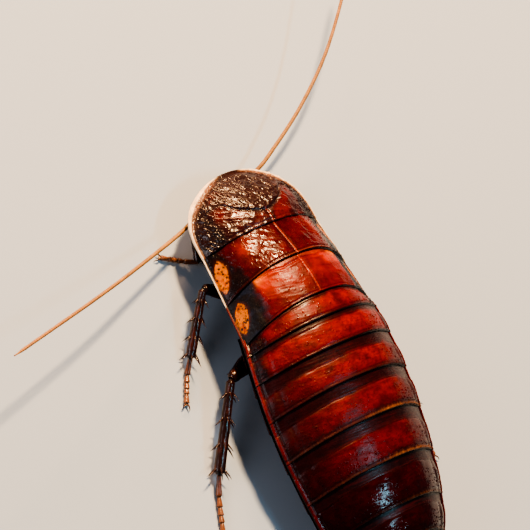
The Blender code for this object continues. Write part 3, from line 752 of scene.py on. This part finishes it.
def make_tail():
    """The supra-anal plate with its notched hind edge, and the two ringed cerci under it."""
    _, start, _, crown, margin, sweep = PLATES[-1]
    uu, vv = np.meshgrid(np.linspace(-1, 1, 131), np.linspace(-0.12, 1, 56))
    vp = np.maximum(vv, 0)
    y = start + 0.15 + 4.2 * vv + lerp(sweep, -1.7, vp) * np.abs(uu) ** CORNER
    y -= 0.35 * line(uu, 0, 0.12) * smooth(vp, 0.6, 1)
    z = lerp(margin + 0.2, lerp(crown - 0.6, margin + 1.0, vp**1.4), arch(uu))
    sheet = Sheet(np.stack([uu * 6.3 * (1 - 0.42 * vp**2), y, z], -1), (0.05, 0.006, 0.005), 0.34)
    x, _, _, _, relief, c = sheet.fields()
    pits = sheet.scatter(901, 5.0, 0.09)
    grains = sheet.scatter(902, 3.0, 0.09, smooth(vp, 0.2, 0.6))
    relief += 0.06 * fbm(x * 0.6, y * 0.6, 903) - 0.04 * pits + 0.05 * grains
    relief += 0.12 * smooth(sheet.border, 0.5, 0.3) - 0.10 * line(sheet.border, 0.7, 0.18)
    paint(c, (0.11, 0.010, 0.007), 0.7 * smooth(fbm(x * 0.5, y * 0.5, 904), -0.2, 0.5))
    paint(c, (0.16, 0.03, 0.015), 0.7 * smooth(sheet.border, 0.45, 0.25))
    paint(c, BLACK, 0.8 * smooth(sheet.border, 0.14, 0.05))
    sheet.make("supra_anal_cuticle", "supra_anal_plate")
    for side, sign in SIDES:
        path = curve(np.array(CERCUS_ROUTE) * (sign, 1, 1), 61)
        share = np.linspace(0, 1, 61)
        breadth, depth = profile(share, CERCUS)
        rings = 1 - 0.10 * np.abs(np.sin(share * np.pi * 9)) ** 6
        tint = np.tile(rgba((0.045, 0.010, 0.007), 0.36), (61, 1))
        paint(tint, (0.16, 0.05, 0.025), (1 - rings) * 8)
        shape = Shape()
        loft(shape, path, breadth * rings, depth * rings, 20, tint)
        hairs(shape, path, breadth, 70, 0.9, 905 + sign, (0.20, 0.09, 0.045), 0.014)
        shape.make(f"cercus_{side}_ringed", LIMB, "dark_chitin", (f"cercus_{side}",))


def hairs(shape, path, radius, count, length, seed, colour, thick):
    """Short stiff bristles that stand off a limb and lean towards its tip."""
    rng = np.random.default_rng(seed)
    along = unit(np.gradient(path, axis=0))
    for _ in range(count):
        i = rng.integers(2, len(path) - 1)
        side = unit(np.cross(along[i], rng.normal(size=3)))
        root = path[i] + side * radius[i] * 0.9
        tip = root + (side + along[i] * 0.9) * length * rng.uniform(0.35, 0.75)
        if tip[2] >= 0.08:
            spine(shape, root, tip, thick, rgba(colour, 0.4), 3, 2)


def spine(shape, root, tip, radius, tint, sides=7, steps=5, bend=0.0):
    """A tapering spine or bristle."""
    along = tip - root
    length = np.linalg.norm(along)
    t = np.linspace(0, 1, steps)
    path = root + along * t[:, None]
    path[:, 2] += bend * np.sin(np.pi * t) * length
    size = radius * (1 - t**1.5) + radius * 0.06
    loft(shape, path, size, size, sides, tint, (0, 0, 1) if abs(along[2]) < 0.9 * length else (1, 0, 0))


# Underside

# Front and hind edge, share of the trunk's width, height at the front and at the hind edge
STERNA = (
    ("prosternum", 8.4, 10.6, 0.5, 4.6, 4.8),
    ("mesosternum", 10.9, 16.9, 0.66, 4.9, 5.2),
    ("metasternum", 17.2, 23.6, 0.72, 5.2, 5.0),
    ("sternite_1", 23.9, 27.4, 0.93, 4.4, 3.4),
    ("sternite_2", 27.7, 32.0, 0.93, 3.4, 2.9),
    ("sternite_3", 32.3, 37.6, 0.93, 2.9, 2.7),
    ("sternite_4", 37.9, 43.8, 0.93, 2.7, 2.8),
    ("sternite_5", 44.1, 50.2, 0.93, 2.8, 3.1),
    ("sternite_6", 50.5, 56.0, 0.93, 3.1, 3.5),
    ("subgenital_plate", 56.3, 61.4, 0.92, 3.4, 3.3),
)
THORAX_STERNA = 3


def make_sternum(index):
    name, front, hind, reach, low_front, low_hind = STERNA[index]
    thorax = index < THORAX_STERNA
    length = hind - front
    y = np.linspace(front - (0.2 if thorax else 0.7), hind + 0.2, int((length + 0.9) / 0.13))
    uu, yy = np.meshgrid(np.linspace(-1, 1, 150), y)
    share = (yy - front) / length
    half = trunk(yy, "width") * reach
    if name == "subgenital_plate":
        half *= np.sqrt(clamp(1 - (clamp(share) * 0.72) ** 3))
    floor = lerp(low_front, low_hind, clamp(share, -0.2, 1.1))
    z = lerp(trunk(yy, "margin") - 1.9, floor, arch(uu)) + 0.1
    bow = (0.27 if thorax else 0.9) * uu**2
    sheet = Sheet(np.stack([uu * half, yy + bow - 0.45, z], -1)[:, ::-1], BELLY, 0.32)
    x, y, to_side, to_hind, relief, c = sheet.fields()
    au = np.abs(uu)
    seed = 2000 + 50 * index
    relief += 0.11 * (2 * share - 1) + 0.03 * fbm(x * 0.5, y * 0.5, seed)
    relief += 0.05 * smooth(to_side, 0.5, 0.3) - 0.03 * sheet.scatter(seed + 1, 3.0, 0.09)
    cloud = smooth(fbm(x * 0.4, y * 0.4, seed + 2), 0, 0.6)
    paint(c, (0.07, 0.014, 0.008), 0.7 * smooth(share, 0.45, 0.0) + 0.35 * cloud)
    paint(c, (0.20, 0.06, 0.028), 0.6 * line(share, 0.62, 0.2) * (1 - au**2))
    paint(c, (0.03, 0.006, 0.005), 0.85 * smooth(au, 0.72, 0.95))
    paint(c, (0.02, 0.005, 0.004), smooth(to_hind, 0.22, 0.08))
    if thorax:
        relief += 0.15 * line(x, 0, 0.35)
        paint(c, (0.035, 0.010, 0.007), 0.6)
    sheet.make(f"{name}_cuticle", name, VENTRAL, "belly_chitin", 0.3)


def make_core():
    """The soft body between the plates, of which only what shows in the gaps between them is seen."""
    rows, cols = 300, 120
    yy, aa = around(np.linspace(6.2, 61.9, rows), cols)
    top = np.sin(aa) >= 0
    yc = np.maximum(yy, SHIELD_END)
    front = smooth(yy, 5.8, 10.0)
    tail = np.sqrt(clamp(1 - ((yy - 60.4) / 1.6) ** 2 * (yy > 60.4)))
    middles = [(s[1] + s[2]) / 2 for s in STERNA]
    floor = np.interp(yy, middles, [(s[4] + s[5]) / 2 for s in STERNA]) + 0.55
    reach = np.interp(yy, middles, [s[3] for s in STERNA]) / 0.93
    crown = lerp(8.0, trunk(yc, "crown") - 1.5, front)
    mid = trunk(yc, "margin") - 1.1
    height = (np.where(top, crown, np.minimum(floor, mid - 0.2)) - mid) * arch(np.cos(aa))
    squeeze = np.where(top, 1.0, lerp(1.0, reach, np.abs(np.sin(aa))))
    u = np.cos(aa) * 0.93
    x = u * trunk(yc, "width") * lerp(0.45, 1.0, front) * squeeze * lerp(0.4, 1, tail)
    folds = 0.05 * np.sin(yy * 9.0 + 2 * noise(aa * 3, yy * 0.7, 5)) * ~top
    points = np.stack([x, yy + 0.6 * np.abs(u) ** CORNER, mid + height * tail + folds], -1)
    tint = np.tile(rgba((0.055, 0.020, 0.014), 0.5), (rows, cols, 1))
    paint(tint, (0.16, 0.075, 0.045), 0.5 * smooth(fbm(aa * 4, yy * 0.8, 6), 0, 0.6) * ~top)
    shape = Shape()
    shape.tube(points, tint, flip=True)
    shape.make("body_membrane", MEMBRANE, "belly_chitin")


# Head

RIGHTWARD = np.array([1.0, 0, 0])
HEAD_CROWN = np.array([0, 3.1, 5.8])
HEAD_MOUTH = np.array([0, 7.3, 1.6])
HEAD_LENGTH = np.linalg.norm(HEAD_MOUTH - HEAD_CROWN)
HEAD_AXIS = (HEAD_MOUTH - HEAD_CROWN) / HEAD_LENGTH
HEAD_OVER = np.cross(RIGHTWARD, HEAD_AXIS)
# Share along the axis, half width, half depth
HEAD_TABLE = (
    (0.00, 0.5, 0.35), (0.03, 1.35, 0.8), (0.10, 2.5, 1.35), (0.28, 3.5, 1.8), (0.48, 3.5, 1.8),
    (0.60, 3.15, 1.65), (0.70, 2.55, 1.45), (0.82, 2.05, 1.2), (0.92, 1.65, 0.95), (1.0, 0.9, 0.5),
)
# The left ones; the right ones mirror them
SOCKET, SOCKET_AXIS = (2.0, 3.45, 3.22), (0.15, -0.9, -0.38)
SOCKET_RINGS = ((0.78, -0.35), (0.76, 0.05), (0.66, 0.18), (0.52, 0.12), (0.42, -0.15))  # radius, height
MANDIBLE = ((1.5, 6.4, 2.5), (1.35, 6.75, 1.8), (0.75, 6.95, 1.25), (0.2, 6.9, 1.1))
MANDIBLE_SIZE = ((0, 0.5, 0.4), (0.3, 0.55, 0.42), (0.8, 0.36, 0.3), (1, 0.1, 0.1))
LIP_PALP = ((0.75, 7.3, 1.65), (1.15, 7.1, 1.1), (1.2, 6.2, 0.8), (0.9, 5.5, 0.72))
PALP = ((1.7, 6.7, 2.0), (2.5, 6.5, 1.5), (3.1, 5.6, 1.2), (3.0, 4.4, 0.9), (2.4, 3.4, 0.8))


def make_head():
    rows, cols = 150, 160
    ss, aa = around(np.linspace(0, 1, rows), cols)
    breadth, depth = profile(ss, HEAD_TABLE)
    points = HEAD_CROWN + (HEAD_MOUTH - HEAD_CROWN) * ss[..., None]
    points += RIGHTWARD * (breadth * np.cos(aa))[..., None] + HEAD_OVER * (depth * np.sin(aa))[..., None]
    n = normals(points)
    outward = np.sign(np.sum(n * (points - points.mean((0, 1))), -1).mean())
    face = clamp(-np.sin(aa))
    x = points[..., 0].copy()
    ax = np.abs(x)
    down = ss * 6.0
    # relief
    clypeus = line(down, 4.55, 0.07) * smooth(ax, 2.4, 2.0) * face
    labrum = line(down, 5.25, 0.06) * smooth(ax, 1.9, 1.5) * face
    cheeks = line(ax - (2.35 - 0.28 * (down - 3.0)), 0, 0.08) * smooth(down, 3.0, 3.6) * face
    relief = 0.05 * fbm(x * 0.9, down * 0.9, 301) + 0.03 * ridges(x * 1.6, down * 1.3, 302) * face
    relief += -0.14 * clypeus - 0.12 * labrum - 0.10 * cheeks + 0.08 * line(down, 0.9, 0.5) * face
    relief += 0.10 * hill(x, 0, 1.1, down, 3.4, 1.0) * face - 0.05 * line(x, 0, 0.05) * smooth(down, 2.2, 1.6)
    points += n * (outward * relief * smooth(ss, 0.0, 0.05) * smooth(ss, 1.0, 0.96))[..., None]
    # colour
    tint = np.tile(rgba((0.030, 0.0085, 0.0060), 0.28), (rows, cols, 1))
    paint(tint, (0.09, 0.022, 0.012), 0.6 * smooth(fbm(x, down, 303), -0.1, 0.5) * face)
    paint(tint, (0.012, 0.006, 0.006), 0.8 * smooth(down, 2.4, 0.6))
    paint(tint, (0.22, 0.085, 0.04), 0.75 * smooth(down, 4.55, 4.9) * smooth(ax, 1.9, 1.3) * face)
    # painted shade darkens the grooves of the clypeus, labrum and cheeks
    paint(tint, (0.010, 0.005, 0.004), 0.8 * clamp(clypeus + labrum + cheeks))
    paint(tint, (0.50, 0.28, 0.14), 0.9 * hill(ax, 1.75, 0.22, down, 1.45, 0.26) * face)
    shape = Shape()
    shape.tube(points, tint, flip=True)
    for _, sign in SIDES:
        mirror = np.array([sign, 1, 1])
        out = unit(SOCKET_AXIS * mirror)
        e1 = unit(np.cross(out, [0, 0, 1.0]))
        ring = np.linspace(0, 2 * np.pi, 33)[:-1, None]
        turn = np.cos(ring) * e1 + np.sin(ring) * np.cross(out, e1)
        rings = [SOCKET * mirror + out * height + radius * turn for radius, height in SOCKET_RINGS]
        shape.grid(np.array(rings), rgba((0.07, 0.018, 0.010)), wrap=True)
        # a mandible and a palp of the lower lip beside the mouth
        share = np.linspace(0, 1, 24)
        sizes = [np.interp(share, *np.transpose(MANDIBLE_SIZE)[[0, i]]) for i in (1, 2)]
        dark_tip = np.linspace(rgba((0.06, 0.016, 0.009), 0.25), rgba((0.006, 0.004, 0.004), 0.2), 24)
        loft(shape, curve(MANDIBLE * mirror, 24), *sizes, 14, dark_tip, up=(0, 1, 0))
        jointed(shape, LIP_PALP * mirror, (0.30, 0.34, 0.36), 0.17, 0.15, (0.20, 0.085, 0.04), 14)
    shape.make("head_cuticle", LIMB, "dark_chitin", ("head",))


def jointed(shape, route, lengths, radius_start, radius_end, colour, sides):
    """A palp of a few club-shaped joints."""
    path = curve(route, 96)
    share = np.linspace(0, 1, 96)
    local = in_joint(share, lengths)
    size = lerp(radius_start, radius_end, share) * (0.82 + 0.288 * local**0.6)
    size *= waist(local, 0.1, 0.7, 0.88, 0.75)
    size[-1] = 0.03
    size[0] *= 0.4
    tint = np.tile(rgba(colour, 0.4), (96, 1))
    tint[:, :3] *= lerp(1.0, 0.45, smooth(np.abs(local - 0.5), 0.40, 0.5))[:, None]
    loft(shape, path, size, size, sides, tint)
    hairs(shape, path, size, 26, 0.30, int(abs(route[0][0]) * 100) + 3, colour, 0.010)


def make_palps():
    for side, sign in SIDES:
        shape = Shape()
        route = np.array(PALP) * (sign, 1, 1)
        jointed(shape, route, (0.12, 0.13, 0.27, 0.22, 0.26), 0.27, 0.25, (0.24, 0.10, 0.05), 18)
        shape.make(f"palp_{side}_joints", FEELER, "amber_chitin", (f"palp_{side}",))


EYE_CENTRE = (4.05, 4.9)  # y and z
EYE_HALF = (0.74, 1.32)
EYE_LEAN = math.radians(42)
FACETS = (29, 50.2)  # the facets' hexagonal lattice, in radians for each millimetre along y and z


def make_eyes():
    """Kidney-shaped compound eyes, with rows of facets raised in the mesh."""
    rows, cols = 84, 220
    rr, aa = around(np.linspace(0, 1, rows) ** 0.8, cols)
    notch = 1 - 0.16 * line(np.angle(np.exp(1j * (aa - np.pi))), 0, 0.5) * rr
    a, b = rr * np.cos(aa) * EYE_HALF[0] * notch, rr * np.sin(aa) * EYE_HALF[1]
    y = EYE_CENTRE[0] + a * math.cos(EYE_LEAN) - b * math.sin(EYE_LEAN)
    z = EYE_CENTRE[1] + a * math.sin(EYE_LEAN) + b * math.cos(EYE_LEAN)
    # the eye sits on the head's side and bulges from it
    rel = np.stack([np.zeros_like(y), y, z], -1) - HEAD_CROWN
    breadth, depth = profile(clamp(rel @ HEAD_AXIS / HEAD_LENGTH), HEAD_TABLE)
    seat = (breadth + 0.05) * np.sqrt(clamp(1 - (rel @ HEAD_OVER / (depth + 0.05)) ** 2))
    across, slant = FACETS[0] * a, FACETS[1] * b
    hexes = (np.cos(2 * across) + np.cos(across + slant) + np.cos(across - slant)) / 3
    x = seat + 0.86 * np.sqrt(clamp(1 - rr**2))
    x += 0.014 * hexes * smooth(rr, 1, 0.9) - 0.12 * smooth(rr, 0.96, 1.0)
    tint = np.tile(rgba((0.010, 0.006, 0.006), 0.22), (rows, cols, 1))
    paint(tint, (0.055, 0.018, 0.012), 0.6 * clamp(0.3 - hexes))
    paint(tint, (0.14, 0.07, 0.035), 0.7 * smooth(rr, 0.93, 1.0))
    for side, sign in SIDES:
        shape = Shape()
        shape.grid(np.stack([sign * x, y, z], -1), tint, wrap=True, flip=sign > 0)
        shape.make(f"eye_{side}_facets", CORNEA, "eye_black", (f"eye_{side}",))


# Feelers

ANTENNAE = {
    "antenna_left": (
        (2.1, 2.5, 2.9), (4.2, 2.1, 3.1), (7.0, 3.8, 3.4), (10.2, 5.6, 3.7), (20.0, 8.2, 5.4),
        (31.6, 10.9, 7.6), (49.9, 14.7, 9.8),
    ),
    "antenna_right": (
        (-2.1, 2.5, 2.9), (-4.0, 1.6, 3.1), (-6.8, 0.9, 3.5), (-10.4, -0.9, 4.0), (-18.4, -6.0, 5.6),
        (-27.0, -13.4, 7.6), (-38.6, -26.4, 9.6),
    ),
}
SCAPE_END, PEDICEL_END = 2.5, 3.05


def make_antenna(name, seed):
    """A scape, a pedicel and a long whip of short ringed joints."""
    rng = np.random.default_rng(seed)
    route = [(math.copysign(1.95, ANTENNAE[name][0][0]), 3.9, 3.4), *ANTENNAE[name]]
    length = np.linalg.norm(np.diff(curve(route, 300), axis=0), axis=1).sum()
    ends = [0.0, SCAPE_END, PEDICEL_END]
    while ends[-1] < length:
        ends.append(ends[-1] + lerp(0.24, 0.44, ends[-1] / length) * rng.uniform(0.92, 1.08))
    ends = np.array(ends) / ends[-1]
    shares, sizes, tints = [], [], []
    for k in range(len(ends) - 1):
        local = np.array((0.0, 0.15, 0.55, 0.9) if k == 0 else (0.0, 0.12, 0.5, 0.88))
        at = lerp(ends[k], ends[k + 1], local)
        size = lerp(0.325, 0.225, at) * (0.84, 0.97, 1.02, 0.99)
        colour = np.array(TAN) * rng.uniform(0.88, 1.1)
        colour = lerp(colour, np.array((0.36, 0.14, 0.06)), 0.35 * smooth(at.mean(), 0.3, 0.9))
        colour = lerp(np.array((0.12, 0.042, 0.018)), colour, smooth(at.mean(), 0.05, 0.2))
        if k < 2:
            size = ((0.20, 0.40, 0.44, 0.30), (0.22, 0.34, 0.34, 0.26))[k]
            colour = (0.075, 0.022, 0.012)
        shares.append(at)
        sizes.append(size)
        tints.append(rgba(colour, 0.42) * [[0.42, 0.42, 0.42, 1], [1] * 4, [1] * 4, [0.85, 0.85, 0.85, 1]])
    shares, sizes, tints = np.concatenate(shares), np.concatenate(sizes), np.concatenate(tints)
    sizes *= 0.35 + 0.65 * smooth(shares, 1.0, 0.96)
    path = sample(curve(route, 900), np.linspace(0, 1, 900), shares)
    shape = Shape()
    loft(shape, path, sizes, sizes, 12, tints)
    hairs(shape, path, sizes, 420, 0.22, seed + 1, BRISTLE, 0.008)
    shape.make(f"{name}_rings", FEELER, "amber_chitin", (name,))


# Legs

# Knee, ankle and toe
LEGS = {
    "fore_left": ((7.8, 5.6, 2.3), (8.5, 10.6, 1.3), (13.9, 7.9, 0.0)),
    "fore_right": ((-8.0, 5.4, 2.3), (-9.6, 10.6, 1.3), (-14.6, 7.4, 0.0)),
    "mid_left": ((12.4, 14.8, 4.7), (17.2, 23.2, 1.4), (20.4, 29.0, 0.0)),
    "mid_right": ((-12.0, 15.2, 4.6), (-15.4, 24.6, 1.4), (-17.2, 31.0, 0.0)),
    "hind_left": ((14.2, 28.4, 4.3), (21.0, 40.2, 1.4), (24.0, 48.4, 0.0)),
    "hind_right": ((-13.4, 29.2, 4.2), (-16.4, 42.4, 1.4), (-17.6, 50.6, 0.0)),
}
# Root and tip of the left coxa, which the right one mirrors, and size
COXAE = {
    "fore": ((4.2, 7.6, 3.3), (3.0, 11.8, 2.6), 0.82),
    "mid": ((6.6, 12.8, 3.7), (3.0, 18.4, 2.8), 0.95),
    "hind": ((7.0, 19.2, 3.7), (3.4, 25.2, 2.4), 1.08),
}
# Share along the piece, half width, half depth
COXA = (
    (0.0, 0.5, 0.35), (0.06, 1.3, 0.75), (0.18, 1.8, 1.0), (0.42, 1.95, 1.1), (0.75, 1.45, 0.9),
    (0.93, 0.9, 0.65), (1.0, 0.4, 0.3),
)
FEMUR = (
    (0.0, 0.3, 0.3), (0.03, 0.6, 0.55), (0.12, 0.95, 0.75), (0.35, 1.36, 0.95), (0.65, 1.24, 0.88),
    (0.9, 0.9, 0.72), (0.97, 0.75, 0.6), (1.0, 0.35, 0.3),
)
TIBIA = (
    (0.0, 0.25, 0.25), (0.04, 0.62, 0.6), (0.14, 0.60, 0.54), (0.3, 0.66, 0.58), (0.6, 0.72, 0.62),
    (0.9, 0.80, 0.68), (0.97, 0.78, 0.68), (1.0, 0.4, 0.35),
)
TARSUS = np.array([0.36, 0.17, 0.14, 0.12, 0.21])  # lengths of the five joints
HEEL = 0.36  # share of the tarsus before it lies down


def limb(a, b, table, size, sides, seed):
    """A wrinkled piece of a leg from a to b, with its path, half widths and half depths, and its axes."""
    count = 90
    span = np.linalg.norm(b - a)
    share = np.linspace(0, 1, count)
    path = a + (b - a) * share[:, None]
    breadth, depth = (half * size for half in profile(share, table))
    ss, aa = around(share, sides)
    wrinkle = 0.035 * fbm(ss * span * 1.2, aa * 1.8, seed) + 0.02 * ridges(ss * span * 0.8, aa * 3, seed + 1)
    wrinkle -= 0.06 * clamp(noise(ss * span * 5, aa * 7, seed + 2) - 0.55)
    wrinkle *= smooth(ss, 0, 0.06) * smooth(ss, 1, 0.94)
    tint = np.tile(rgba(LEG), (count, sides, 1))
    paint(tint, (0.085, 0.017, 0.009), 0.6 * smooth(fbm(ss * span * 0.6, aa * 1.2, seed + 3), -0.1, 0.6))
    paint(tint, (0.012, 0.004, 0.004), 0.7 * smooth(np.abs(ss - 0.5), 0.42, 0.5))
    shape = Shape()
    loft(shape, path, breadth, depth, sides, tint, wrinkle=wrinkle)
    along = (b - a) / span
    across = unit(np.cross(along, [0, 0, 1.0]))
    return shape, path, breadth, depth, along, across


def make_leg(name):
    kind, side = name.split("_")
    fore = kind == "fore"
    *coxa, size = COXAE[kind]
    root, base = np.array(coxa) * (dict(SIDES)[side], 1, 1)
    knee, ankle, toe = np.array(LEGS[name])
    seed = 5000 + 97 * list(LEGS).index(name)
    rng = np.random.default_rng(seed)
    shape = limb(root, base, COXA, size, 36, seed)[0]
    shape.make(f"coxa_{name}_cuticle", LIMB, "leg_chitin", (f"coxa_{name}",))

    shape, path, breadth, depth, along, across = limb(base, knee, FEMUR, size, 36, seed + 10)
    for row in (-1, 1):
        for t in np.linspace(0.3, 0.92, 3 if fore else 5):
            i = int(t * (len(path) - 1))
            start = path[i] + across * row * breadth[i] * 0.55 - (0, 0, depth[i] * 0.6)
            tip = start + (along * 0.55 + across * row * 0.35 - (0, 0, 0.5)) * 0.75 * size
            tip[2] = max(tip[2], 0.3)
            spine(shape, start, tip, 0.11 * size, rgba((0.03, 0.008, 0.006), 0.28))
    hairs(shape, path, breadth * 0.95, 60, 0.35, seed + 11, (0.16, 0.06, 0.03), 0.011)
    shape.make(f"femur_{name}_cuticle", LIMB, "leg_chitin", (f"femur_{name}",))

    shape, path, breadth, depth, along, across = limb(knee, ankle, TIBIA, size, 32, seed + 20)
    over = np.cross(across, along)
    for degrees in (40, 140, 210) if fore else (20, 75, 130, 185, 235, 310):
        aside, up = across * math.cos(math.radians(degrees)), over * math.sin(math.radians(degrees))
        for t in np.linspace(0.16, 0.95, 3 if fore else 4) + rng.uniform(-0.03, 0.03):
            i = int(clamp(t, 0.05, 0.97) * (len(path) - 1))
            start = path[i] + (aside * breadth[i] + up * depth[i]) * 0.85
            long = rng.uniform(0.85, 1.2) * lerp(1.0, 1.55, t) * size
            tip = start + (aside + up + along) * 0.85 * long
            tip[2] = max(tip[2], 0.25)
            spine(shape, start, tip, 0.14 * size, rgba((0.028, 0.007, 0.005), 0.26), 8, 6, 0.05)
    hairs(shape, path, breadth, 90, 0.4, seed + 21, (0.18, 0.07, 0.035), 0.011)
    shape.make(f"tibia_{name}_cuticle", LIMB, "leg_chitin", (f"tibia_{name}",))
    make_foot(name, ankle, toe, size, seed + 30)


def make_foot(name, ankle, toe, size, seed):
    """Five tarsal joints with pale pads beneath, a lobe and two hooked claws."""
    count = 110
    share = np.linspace(0, 1, count)
    landing = np.array([*toe[:2], 0.44])
    bend = lerp(ankle, landing, HEEL)
    bend[2] = 0.56
    path = sample(np.array([ankle, bend, landing]), [0, HEEL, 1], share)
    local = in_joint(share, TARSUS)
    width = 0.46 * size**0.5 * (0.62 + 0.42 * local**0.8) * waist(local, 0.12, 0.6, 0.85, 0.72)
    width[0] *= 0.5
    tint = np.tile(rgba((0.11, 0.035, 0.018), 0.34), (count, 1))
    paint(tint, (0.26, 0.11, 0.055), 0.6 * smooth(share, 0.1, 0.7))
    tint[:, :3] *= lerp(1.0, 0.4, smooth(np.abs(local - 0.5), 0.4, 0.5))[:, None]
    shape = Shape()
    loft(shape, path, width, width * 0.88, 18, tint)
    heading = unit((toe - ankle) * (1, 1, 0))
    across = np.cross(heading, [0, 0, 1.0])

    def cushion(centre, half_length, half_width, half_depth, colour):
        t = np.linspace(-1, 1, 12)
        swell = np.sqrt(clamp(1 - t**2)) + 0.02
        line_of = centre + heading * (t * half_length)[:, None]
        loft(shape, line_of, half_width * swell, half_depth * swell, 12, rgba(colour, 0.5))

    for end in np.cumsum(TARSUS)[1:4]:
        pad = lerp(ankle, toe, end - 0.025)
        cushion(np.array([*pad[:2], 0.17]), 0.26, 0.28, 0.17, (0.55, 0.38, 0.22))
    cushion(landing + heading * 0.10 - (0, 0, 0.12), 0.24, 0.24, 0.2, (0.42, 0.26, 0.14))
    claw_tint = np.linspace(rgba((0.14, 0.05, 0.025)), rgba((0.012, 0.006, 0.005), 0.25), 14)
    claw_size = np.interp(np.linspace(0, 1, 14), [0, 0.5, 1], [0.13, 0.10, 0.015])
    for sign in (1, -1):
        steps = ((0, 0.16, 0), (0.45, 0.42, 0.12), (0.85, 0.60, -0.06), (1.0, 0.66, -0.36))
        hook = curve([landing + heading * a + across * sign * b + (0, 0, c) for a, b, c in steps], 14)
        hook[:, 2] = np.maximum(hook[:, 2], 0.04)
        loft(shape, hook, claw_size, claw_size, 9, claw_tint)
    hairs(shape, path, width, 70, 0.30, seed, BRISTLE, 0.010)
    shape.make(f"tarsus_{name}_joints", LIMB, "leg_chitin", (f"tarsus_{name}",))


# Studio and camera

FLOOR_REACH = 1.6  # metres
FLOOR_COLOUR = (0.41, 0.465, 0.535, 1)
WORLD_COLOUR, WORLD_STRENGTH = (0.92, 0.94, 1.0, 1), 0.135
LAMP_CENTRE = Vector((0, 0, 0.01))
# Direction, distance and size in metres, watts, colour, and the line that the first side lies along
LAMPS = {
    "key": ((-0.17, -0.60, 0.78), 0.55, (0.06, 0.06), 7.4, (1.0, 0.65, 0.35), (1, 0, 0)),
    "front": ((-0.23, -0.91, 0.35), 0.6, (0.09, 0.08), 3.1, (1.0, 0.56, 0.29), (1, 0, 0)),
    "cool_strip": ((-0.28, 0.30, 0.91), 0.6, (0.23, 0.016), 0.80, (0.36, 0.79, 1.0), (0.27, 0.25, 0)),
    "fill": ((0.90, -0.20, 0.34), 0.7, (0.40, 0.24), 1.9, (0.90, 0.93, 1.0), (1, 0, 0)),
}
AZIMUTH, ELEVATION, ROLL = (math.radians(degrees) for degrees in (97.3, 51.4, 59.8))
VIEW_CENTRE, VIEW_DISTANCE = Vector((5.0, 15.4, 10.8)), 400.0  # millimetres
SENSOR, FOCAL_PIXELS, PHOTO_PIXELS = 36, 2770, 530


def aimed(right, up, backward):
    """The turn of a lamp or camera, which looks down its own -Z."""
    return Matrix((right, up, backward)).transposed().to_4x4()


def make_floor():
    mesh = bpy.data.meshes.new("floor")
    corners = [(x * FLOOR_REACH, y * FLOOR_REACH, 0) for x, y in ((-1, -1), (1, -1), (1, 1), (-1, 1))]
    mesh.from_pydata(corners, [], [(0, 1, 2, 3)])
    made = bpy.data.materials.new("floor_matte")
    made.use_nodes = True
    shader = made.node_tree.nodes["Principled BSDF"]
    shader.inputs["Base Color"].default_value = FLOOR_COLOUR
    shader.inputs["Roughness"].default_value = 0.8
    shader.inputs["Specular IOR Level"].default_value = 0.1
    mesh.materials.append(made)
    floor = bpy.data.objects.new("floor", mesh)
    bpy.context.scene.collection.objects.link(floor)


def make_lights():
    """Rectangular lamps that face the animal, and an even dim sky."""
    for name, (direction, distance, size, power, colour, along) in LAMPS.items():
        lamp = bpy.data.lights.new(name, "AREA")
        lamp.shape = "RECTANGLE"
        lamp.size, lamp.size_y = size
        lamp.energy = power
        lamp.color = colour
        made = bpy.data.objects.new(name, lamp)
        toward = Vector(direction).normalized()
        side = Vector(along)
        side = (side - toward * side.dot(toward)).normalized()
        turn = aimed(side, toward.cross(side), toward)
        made.matrix_world = Matrix.Translation(LAMP_CENTRE + toward * distance) @ turn
        bpy.context.scene.collection.objects.link(made)
    bpy.context.scene.view_settings.look = "AgX - High Contrast"
    world = bpy.data.worlds.new("studio")
    bpy.context.scene.world = world
    world.use_nodes = True
    world.node_tree.nodes["Background"].inputs["Color"].default_value = WORLD_COLOUR
    world.node_tree.nodes["Background"].inputs["Strength"].default_value = WORLD_STRENGTH


def make_camera():
    """The photograph's view: high on the animal's left side, rolled so that the body runs down the frame."""
    level = Vector((math.cos(AZIMUTH), math.sin(AZIMUTH), 0))
    outward = Vector((math.sin(AZIMUTH), -math.cos(AZIMUTH), 0))
    backward = outward * math.cos(ELEVATION) + Vector((0, 0, math.sin(ELEVATION)))
    upward = backward.cross(level)
    right = level * math.cos(ROLL) + upward * math.sin(ROLL)
    up = upward * math.cos(ROLL) - level * math.sin(ROLL)
    lens = bpy.data.cameras.new("camera")
    lens.sensor_width = SENSOR
    lens.lens = SENSOR * FOCAL_PIXELS / PHOTO_PIXELS
    lens.clip_start = 0.01
    camera = bpy.data.objects.new("camera", lens)
    place = (VIEW_CENTRE + backward * VIEW_DISTANCE) * 0.001 + Vector(ORIGIN)
    camera.matrix_world = Matrix.Translation(place) @ aimed(right, up, backward)
    bpy.context.scene.collection.objects.link(camera)
    bpy.context.scene.camera = camera


make_camera()
make_pronotum()
make_mesonotum()
make_metanotum()
for plate in TERGITES:
    make_tergite(plate)
make_tail()
make_core()
for sternum in range(len(STERNA)):
    make_sternum(sternum)
make_head()
make_eyes()
for number, feeler in enumerate(ANTENNAE):
    make_antenna(feeler, 700 + number)
make_palps()
for leg in LEGS:
    make_leg(leg)
make_floor()
make_lights()
